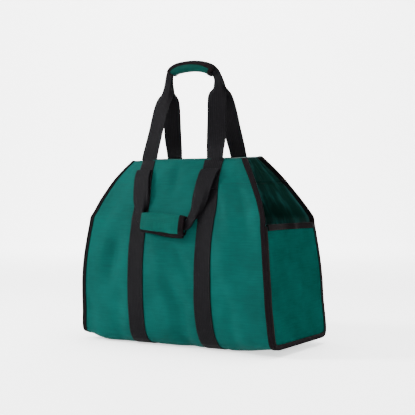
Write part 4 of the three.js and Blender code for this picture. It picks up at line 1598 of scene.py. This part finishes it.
@dataclass
class LongGrip:
    """The padded wrap of the long handles, open along its top, with taped edges."""

    finishes: Finishes
    handles: LongHandles
    start: float = -0.735
    length: float = 0.153
    girth: float = 0.13
    wall: float = 0.0068
    slack: float = 0.0048
    cover: float = 0.016
    gathered: float = 0.024
    steps: int = 64
    tape_stand: float = 0.0022
    tape_width: float = 0.024
    tape_girth: float = 0.09
    tape_length: float = 0.011

    @property
    def floor(self) -> float:
        """Where the slot's floor is, below the handles' middle line."""
        return -self.gathered / 2 - 0.0006

    @property
    def top(self) -> float:
        """Where the wrap's long edges are."""
        return -self.gathered / 2 + self.cover

    def line(self) -> tuple[np.ndarray, np.ndarray]:
        """The handles' middle line under the grip.

        Returns:
            Its points, and the direction up out of each.
        """
        middle, _ = self.handles.line(SHAPE.front)
        high = middle[middle[:, 2] > SHAPE.front.height + self.handles.rise * 0.8]
        high[:, 1] = self.handles.meet
        reach = distances(high)
        first = np.interp(SHAPE.mouth_lean + SHAPE.strap_gap * self.start, high[:, 0], reach)
        at = np.linspace(first, first + self.length, self.steps + 1)
        points = along_line(at, reach, high)
        run = unit(np.gradient(points, axis=0))
        return points, np.stack([-run[:, 2], np.zeros(len(at)), run[:, 0]], axis=-1)

    def swell(self, place: float) -> float:
        """How thick the padding is at a place from -1 to 1 along the wrap."""
        return 1 - (0.5 if place < 0 else 0.3) * abs(place) ** 6

    def profile(self, swell: float) -> np.ndarray:
        """The wrap's cross-section.

        Args:
            swell: how thick its padding is.

        Returns:
            A closed ring of aside and rise.
        """
        floor, top = self.floor, self.top
        sole = self.wall * swell
        wide, inner = self.slack + sole, self.slack
        halfway = (top + floor) / 2
        keys = np.array([
            (inner, top), (inner + self.wall * 0.5, top + 0.002), (wide, top - 0.003),
            (wide + 0.0008, halfway), (wide, floor), (wide * 0.72, floor - sole * 0.8),
            (0.0, floor - sole), (-wide * 0.72, floor - sole * 0.8), (-wide, floor),
            (-wide - 0.0008, halfway), (-wide, top - 0.003),
            (-inner - self.wall * 0.5, top + 0.002), (-inner, top),
            (-inner, halfway), (-inner, floor + 0.001), (-inner * 0.6, floor),
            (inner * 0.6, floor), (inner, floor + 0.001), (inner, halfway), (inner, top),
        ])
        return chain(keys, 65)

    def tape_profile(self, swell: float) -> np.ndarray:
        """The end tape's line round the wrap, from one long edge down and up to the other."""
        floor, top = self.floor, self.top
        sole = self.wall * swell
        wide = self.slack + sole + self.tape_stand
        halfway = (top + floor) / 2
        low = floor - sole * 0.8 - 0.001
        keys = np.array([
            (wide, top), (wide + 0.0008, halfway), (wide, floor), (wide * 0.72, low),
            (0.0, floor - sole - 0.0012), (-wide * 0.72, low), (-wide, floor),
            (-wide - 0.0008, halfway), (-wide, top),
        ])
        return chain(keys, 41)

    def slot_profile(self) -> np.ndarray:
        """The slot's line, from one long edge down and up to the other."""
        floor, top, inner = self.floor, self.top, self.slack + 0.0004
        keys = np.array([
            (inner, top), (inner, floor + 0.002), (inner * 0.6, floor), (0.0, floor),
            (-inner * 0.6, floor), (-inner, floor + 0.002), (-inner, top),
        ])
        return chain(keys, 41)

    def build(self) -> None:
        """Makes the wrap and its taped edges."""
        middle, rise = self.line()
        places = np.linspace(-1, 1, len(middle))
        profiles = [self.profile(self.swell(float(place))) for place in places]
        rings = [placed(ring, spot, SIDEWAYS, up) for ring, spot, up in zip(profiles, middle, rise)]
        points = np.stack(rings)
        points[:, -1] = points[:, 0]
        reach = np.linspace(0, self.length, len(middle))
        cloth = cloth_grid(reach, np.linspace(0, self.girth, points.shape[1]))
        wrap = grid_piece("long_grip_wrap", points, cloth, closed=True)
        turn_out(wrap, fill=True)
        dress(wrap, self.finishes.wrap)
        inflate(wrap, pressure=2.0, cap=0.002)
        place_piece(wrap, ("long_grip",))
        self.edge_tapes(middle, rise)
        self.end_tapes(middle, rise)

    def end_tapes(self, middle: np.ndarray, rise: np.ndarray) -> None:
        """Makes the black tape round each end of the wrap.

        Args:
            middle: points of the wrap's middle line.
            rise: the direction up out of each.
        """
        last = len(middle) - 1
        tape = Tape(self.finishes.tape, self.tape_girth, offset=0.0)
        for end, here in ((End.LEFT, range(2)), (End.RIGHT, range(last - 4, last + 1))):
            rows = [
                placed(self.tape_profile(self.swell(2 * at / last - 1)), middle[at], SIDEWAYS, rise[at])
                for at in here
            ]
            tip = 0 if end is End.LEFT else -1
            outward = unit(np.cross(rise[tip], SIDEWAYS))
            outward = outward * np.sign(outward[0]) * end.value
            slot = placed(self.slot_profile(), middle[tip], SIDEWAYS, rise[tip])
            cap = end_cap(rows[tip], slot, outward)
            points = np.stack([*cap[::-1], *rows] if end is End.LEFT else [*rows, *cap])
            reach = np.linspace(0, self.tape_length, len(points))
            tape.lay(f"long_grip_end_tape_{end.name.lower()}", points[:, ::-1], reach)

    def edge_tapes(self, middle: np.ndarray, rise: np.ndarray) -> None:
        """Makes the black tape folded over the wrap's two long edges.

        Args:
            middle: points of the wrap's middle line.
            rise: the direction up out of each.
        """
        swell = 1 - 0.25 * np.abs(np.linspace(-1, 1, len(middle))) ** 6
        reach = np.linspace(0, self.length, len(middle))
        tape = Tape(self.finishes.tape, self.tape_width, thickness=0.001)
        for side in SHAPE.sides:
            columns = []
            for aside, up in folded_profile(0.007, self.wall * 0.5 + 0.0012):
                line = middle + rise * (self.top + up)
                line[:, 1] += side.sign * (self.slack + self.wall * 0.5 * swell) + aside * swell
                columns.append(line)
            tape.lay(f"long_grip_tape_{side.name}", np.stack(columns, axis=1)[:, ::-1], reach)


@dataclass
class ShortHandle:
    """A short handle: sewn to both straps, turned down over itself, and hanging between them."""

    finishes: Finishes
    side: Side
    line: tuple[tuple[float, ...], ...]
    drop: float = 0.136
    turn_place: float = 0.030
    stitched: float = 0.045
    turn_radius: float = 0.004
    standoff: float = 0.013
    seat: float = 0.0022
    stitch_aside: float = 0.021
    hanging_rows: int = 150
    easing_rows: int = 14

    @property
    def level(self) -> float:
        """The height where the webbing turns down."""
        return self.side.height - self.turn_place - self.turn_radius

    def place(self, across: np.ndarray, drop: np.ndarray) -> tuple[np.ndarray, np.ndarray]:
        """Where the handle's line hangs.

        Args:
            across: places along it, from -1 to 1.
            drop: how far down it hangs, as shares of its drop.

        Returns:
            The points, and the direction out of the wall at each.
        """
        height = self.side.height - self.turn_place - self.drop * drop
        step = 0.05 / 3

        def wall(aside: float, above: float) -> np.ndarray:
            """The wall near the place."""
            return SHAPE.wall(self.side, SHAPE.strap_gap * across + aside, height + above)

        right = wall(step, 0) - wall(-step, 0)
        up = wall(0, step) - wall(0, -step)
        normal = unit(np.cross(right, up)) * -self.side.sign
        return wall(0, 0) + normal * self.standoff, normal

    def turned_rows(self, column: float, flip: bool) -> np.ndarray:
        """The stitched end on its strap, and the turn over the top of it.

        Args:
            column: the strap's column.
            flip: whether the columns go the other way.

        Returns:
            Rows by columns by 3.
        """
        low = SHAPE.run_at(self.side, self.level - self.stitched)
        top = SHAPE.run_at(self.side, self.level)
        seat = self.seat + WEBBING.thickness
        flat = WEBBING.on_panel(column, np.linspace(low, top, 24), seat, flip)
        at = column + WEBBING.places(flip)
        point, normal, along = SHAPE.frame_at(at, np.full_like(at, top))
        climb = along * self.side.sign
        center = point + normal * (seat - WEBBING.thickness / 2 + self.turn_radius)
        radius = self.turn_radius - WEBBING.thickness / 2
        turn = [
            center - normal * radius * math.cos(angle) + climb * radius * math.sin(angle)
            for angle in np.linspace(0, math.pi, 14)[1:]
        ]
        return np.concatenate([flat, np.stack(turn)])

    def hanging(self, first: np.ndarray, last: np.ndarray) -> np.ndarray:
        """The hanging part.

        Args:
            first: the middle of the first turn's end.
            last: the middle of the last one's.

        Returns:
            Rows by columns by 3, without those of the two turns.
        """
        table = np.array(self.line)
        middle, normal = self.place(table[:, 0], table[:, 1])
        points = np.concatenate([[first], middle, [last]])
        normals = np.concatenate([normal[:1], normal, normal[-1:]])
        reach = distances(points)
        line = curve_through(reach, points, normals, np.pad(table[:, 2], 1))
        made = line.read(np.linspace(0, reach[-1], self.hanging_rows))
        spots, outs, share = made[:, :3], unit(made[:, 3:6]), np.clip(made[:, 6], 0, 1)
        count = np.arange(len(spots))
        fade = smooth(np.minimum(count, count[::-1]), 0, self.easing_rows)[:, None]
        ends = np.where(count[:, None] < len(spots) / 2, -UPWARDS, UPWARDS)
        run = unit(lerp(ends, unit(np.gradient(spots, axis=0)), fade))
        return WEBBING.rows(spots, np.cross(run, outs), share, fold_side=-1.0)[1:-1]

    def build(self) -> None:
        """Makes the webbing and its box stitches."""
        front = self.side is SHAPE.front
        left = self.turned_rows(-SHAPE.strap_gap, flip=front)
        right = self.turned_rows(SHAPE.strap_gap, flip=not front)[::-1]
        middle = WEBBING.columns // 2
        points = np.concatenate([left, self.hanging(left[-1, middle], right[0, middle]), right])
        name = f"short_webbing_{self.side.name}"
        webbing = WEBBING.piece(f"{name}_strip", points, self.finishes.webbing, offset=0.0)
        place_piece(webbing, (name,))
        self.stitch()

    def stitch(self) -> None:
        """Sews a box of stitches with a cross in it on each end."""
        top = SHAPE.run_at(self.side, self.level - 0.006)
        low = SHAPE.run_at(self.side, self.level - self.stitched + 0.004)
        left, right = -self.stitch_aside, self.stitch_aside
        corners = [(left, top), (right, top), (right, low), (left, low), (left, top)]
        cross = [((left, top), (right, low)), ((right, top), (left, low))]
        share = np.linspace(0, 1, 20)
        lines = []
        for column in (-SHAPE.strap_gap, SHAPE.strap_gap):
            for (aside, run), (next_aside, next_run) in [*zip(corners, corners[1:]), *cross]:
                place = column + lerp(aside, next_aside, share)
                point, normal, _ = SHAPE.frame_at(place, lerp(run, next_run, share))
                path = point + normal * (self.seat + 0.0024)
                lines.append(StitchLine(path, normal, spacing=0.004))
        stitch_piece(f"box_stitches_{self.side.name}", lines, self.finishes.black_thread)


@dataclass
class ShortGrip:
    """The padded sleeve of the front short handle, with a taped end and a taped lower edge."""

    finishes: Finishes
    handle: ShortHandle
    start: float = -0.8
    length: float = 0.134
    girth: float = 0.12
    height: float = 0.052
    thickness: float = 0.017
    wall: float = 0.0036
    steps: int = 60
    tape_stand: float = 0.003
    tape_length: float = 0.013
    tape_width: float = 0.026

    def stations(self) -> tuple[np.ndarray, np.ndarray, np.ndarray]:
        """The sleeve's middle line, with the directions out of the wall and up along it."""
        share = np.linspace(0, 1, self.steps + 1)
        across = self.start + share * self.length / SHAPE.strap_gap
        middle, normal = self.handle.place(across, lerp(1.0, 1.07, share))
        return middle, normal, unit(UPWARDS - normal * (normal @ UPWARDS)[:, None])

    def swell(self, place: Amount) -> Amount:
        """How thick the sleeve is at a place from -1 to 1 along it."""
        return 1 - 0.12 * abs(place) ** 3

    def ring(self, height: float, thickness: float) -> np.ndarray:
        """A rounded oblong ring, anticlockwise.

        Args:
            height: its size up.
            thickness: its size out.

        Returns:
            Pairs of out and up.
        """
        power = 2 / 3.2
        angle = np.linspace(0, 2 * math.pi, 57)
        out = np.sign(np.cos(angle)) * np.abs(np.cos(angle)) ** power * thickness / 2
        tall = np.sign(np.sin(angle)) * np.abs(np.sin(angle)) ** power * height / 2
        return np.stack([out, tall], axis=-1)

    def outer_ring(self, place: float, stand: float = 0.0) -> np.ndarray:
        """The sleeve's outside at a place along it, wider by a stand."""
        swell = self.swell(place)
        return self.ring(self.height * swell + stand, self.thickness * swell + stand)

    def inner_ring(self) -> np.ndarray:
        """The sleeve's inside."""
        return self.ring(self.height - 4 * self.wall, self.thickness - 2.2 * self.wall)

    def build(self) -> None:
        """Makes the sleeve and its tapes."""
        middle, normal, tall = self.stations()
        places = np.linspace(-1, 1, len(middle))
        stations = list(zip(middle, normal, tall))
        outside = [placed(self.outer_ring(place), *at) for place, at in zip(places, stations)]
        inside = [placed(self.inner_ring(), *at) for at in reversed(stations)]
        points = np.stack([*outside, *inside, outside[0]])
        points[:, -1] = points[:, 0]
        reach = np.linspace(0, 2 * self.length, len(points))
        cloth = cloth_grid(reach, np.linspace(0, self.girth, points.shape[1]))
        sleeve = grid_piece("short_grip_sleeve", points, cloth, closed=True)
        turn_out(sleeve)
        dress(sleeve, self.finishes.grip)
        inflate(sleeve, pressure=2.0, cap=0.002)
        place_piece(sleeve, ("short_grip",))
        self.end_tape(stations)
        self.lower_tape(middle, normal, tall)

    def end_tape(self, stations: list[tuple[np.ndarray, ...]]) -> None:
        """Makes the black tape round the right end of the sleeve.

        Args:
            stations: the sleeve's middle points, each with its directions out and up.
        """
        last = len(stations) - 1
        rows = [
            placed(self.outer_ring(2 * at / last - 1, self.tape_stand), *stations[at])
            for at in range(last - 6, last + 1)
        ]
        outward = unit(stations[-1][0] - stations[-2][0])
        slot = placed(self.inner_ring(), *stations[-1])
        points = np.stack([*rows, *end_cap(rows[-1], slot, outward)])
        points[:, -1] = points[:, 0]
        tape = Tape(self.finishes.tape, self.girth, offset=0.0)
        reach = np.linspace(0, self.tape_length, len(points))
        tape.lay("short_grip_end_tape", points, reach, closed=True)

    def lower_tape(self, middle: np.ndarray, normal: np.ndarray, tall: np.ndarray) -> None:
        """Makes the black tape along the flap's edge, which shows under the sleeve.

        Args:
            middle: points of the sleeve's middle line.
            normal: the direction out of the wall at each.
            tall: the direction up along the wall at each.
        """
        share = np.linspace(0, 1, len(middle))
        drop = self.height / 2 * self.swell(2 * share - 1) + lerp(0.0005, 0.0065, share)
        columns = [
            middle - tall * (drop + rise)[:, None] + normal * (aside + 0.001)
            for aside, rise in folded_profile(0.010, 0.0028)
        ]
        tape = Tape(self.finishes.tape, self.tape_width, offset=0.0)
        tape.lay("short_grip_lower_tape", np.stack(columns, axis=1), share * self.length)


# Studio


@dataclass(frozen=True)
class Lamp:
    """A square soft light: its place, its side in metres, its power in watts and its aim."""

    name: str
    place: Place
    size: float
    power: float
    aim: Place = (0.0, 0.0, 0.3)

    def hang(self) -> None:
        """Makes the light."""
        lamp = bpy.data.lights.new(self.name, "AREA")
        lamp.size = self.size
        lamp.energy = self.power
        holder = bpy.data.objects.new(self.name, lamp)
        holder.location = self.place
        facing = Vector(self.aim) - Vector(self.place)
        holder.rotation_euler = facing.to_track_quat("-Z", "Y").to_euler()
        bpy.context.scene.collection.objects.link(holder)


@dataclass
class Studio:
    """A white paper sweep, soft lights and the camera at the photograph's angle."""

    camera_place: Place = (1.3639, -2.1096, 0.4005)
    camera_turn: float = math.radians(32.6)
    lens: float = 80.4
    shift: float = -14.5 / 415
    floor_radius: float = 5.0
    sweep_radius: float = 2.5
    wall_height: float = 5.0
    ambient: float = 0.5
    lamps: tuple[Lamp, ...] = (
        Lamp("key", (-2.8, -2.1, 2.3), 0.9, 300.0),
        Lamp("top", (0.2, 0.2, 3.2), 2.4, 220.0),
        Lamp("backdrop", (-2.2, 3.0, 3.0), 2.4, 420.0, aim=(-3.6, 5.8, 0.6)),
    )

    def build(self) -> None:
        """Makes the floor, the lights and the camera."""
        self.floor()
        for lamp in self.lamps:
            lamp.hang()
        world = bpy.data.worlds.new("studio")
        bpy.context.scene.world = world
        world.use_nodes = True
        background = world.node_tree.nodes["Background"]
        background.inputs["Color"].default_value = (1.0, 1.0, 1.0, 1.0)
        background.inputs["Strength"].default_value = self.ambient
        self.camera()

    def floor(self) -> None:
        """Makes a round paper floor whose far edge curves up."""
        sweep = self.sweep_radius
        profile = [(0.0, 0.0), (self.floor_radius, 0.0)]
        for step in range(1, 13):
            angle = math.pi / 2 * step / 12
            profile.append((self.floor_radius + sweep * math.sin(angle), sweep * (1 - math.cos(angle))))
        profile.append((self.floor_radius + sweep, self.wall_height))
        shape = bmesh.new()
        verts = [shape.verts.new((x, 0.0, z)) for x, z in profile]
        edges = [shape.edges.new(pair) for pair in zip(verts, verts[1:])]
        bmesh.ops.spin(
            shape,
            geom=[*verts, *edges],
            axis=(0, 0, 1),
            cent=(0, 0, 0),
            angle=2 * math.pi,
            steps=64,
            use_merge=True,
        )
        bmesh.ops.remove_doubles(shape, verts=shape.verts, dist=1e-5)
        bmesh.ops.recalc_face_normals(shape, faces=shape.faces)
        lowest = min(shape.faces, key=lambda face: face.calc_center_median().z)
        if lowest.normal.z < 0:
            bmesh.ops.reverse_faces(shape, faces=shape.faces)
        floor = piece_from("floor", shape)
        dress(floor, SeamlessPaper().make())

    def camera(self) -> None:
        """Makes the camera."""
        lens = bpy.data.cameras.new("camera")
        lens.lens = self.lens
        lens.sensor_width = 36.0
        lens.shift_y = self.shift
        holder = bpy.data.objects.new("camera", lens)
        holder.location = self.camera_place
        holder.rotation_euler = (math.pi / 2, 0.0, self.camera_turn)
        bpy.context.scene.collection.objects.link(holder)
        bpy.context.scene.camera = holder


def corners(box: tuple[Vector, Vector]) -> list[list[float]]:
    """A box as plain lists."""
    return [list(corner) for corner in box]


def main() -> None:
    """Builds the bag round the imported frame, then the studio."""
    logging.basicConfig(level=logging.INFO, format="%(message)s")
    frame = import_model()
    LOG.info("loaded the frame, with %d nodes", len(frame["nodes"]))
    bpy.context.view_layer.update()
    finishes = Finishes()
    Studio().build()
    BodyCloth(finishes).build()
    Gussets(finishes).build()
    SeamTape(finishes).build()
    handles = LongHandles(finishes)
    handles.build()
    LongGrip(finishes, handles).build()
    front = ShortHandle(finishes, SHAPE.front, FRONT_SHORT_LINE)
    front.build()
    ShortGrip(finishes, front).build()
    ShortHandle(finishes, SHAPE.back, BACK_SHORT_LINE).build()


if __name__ == "__main__":
    main()
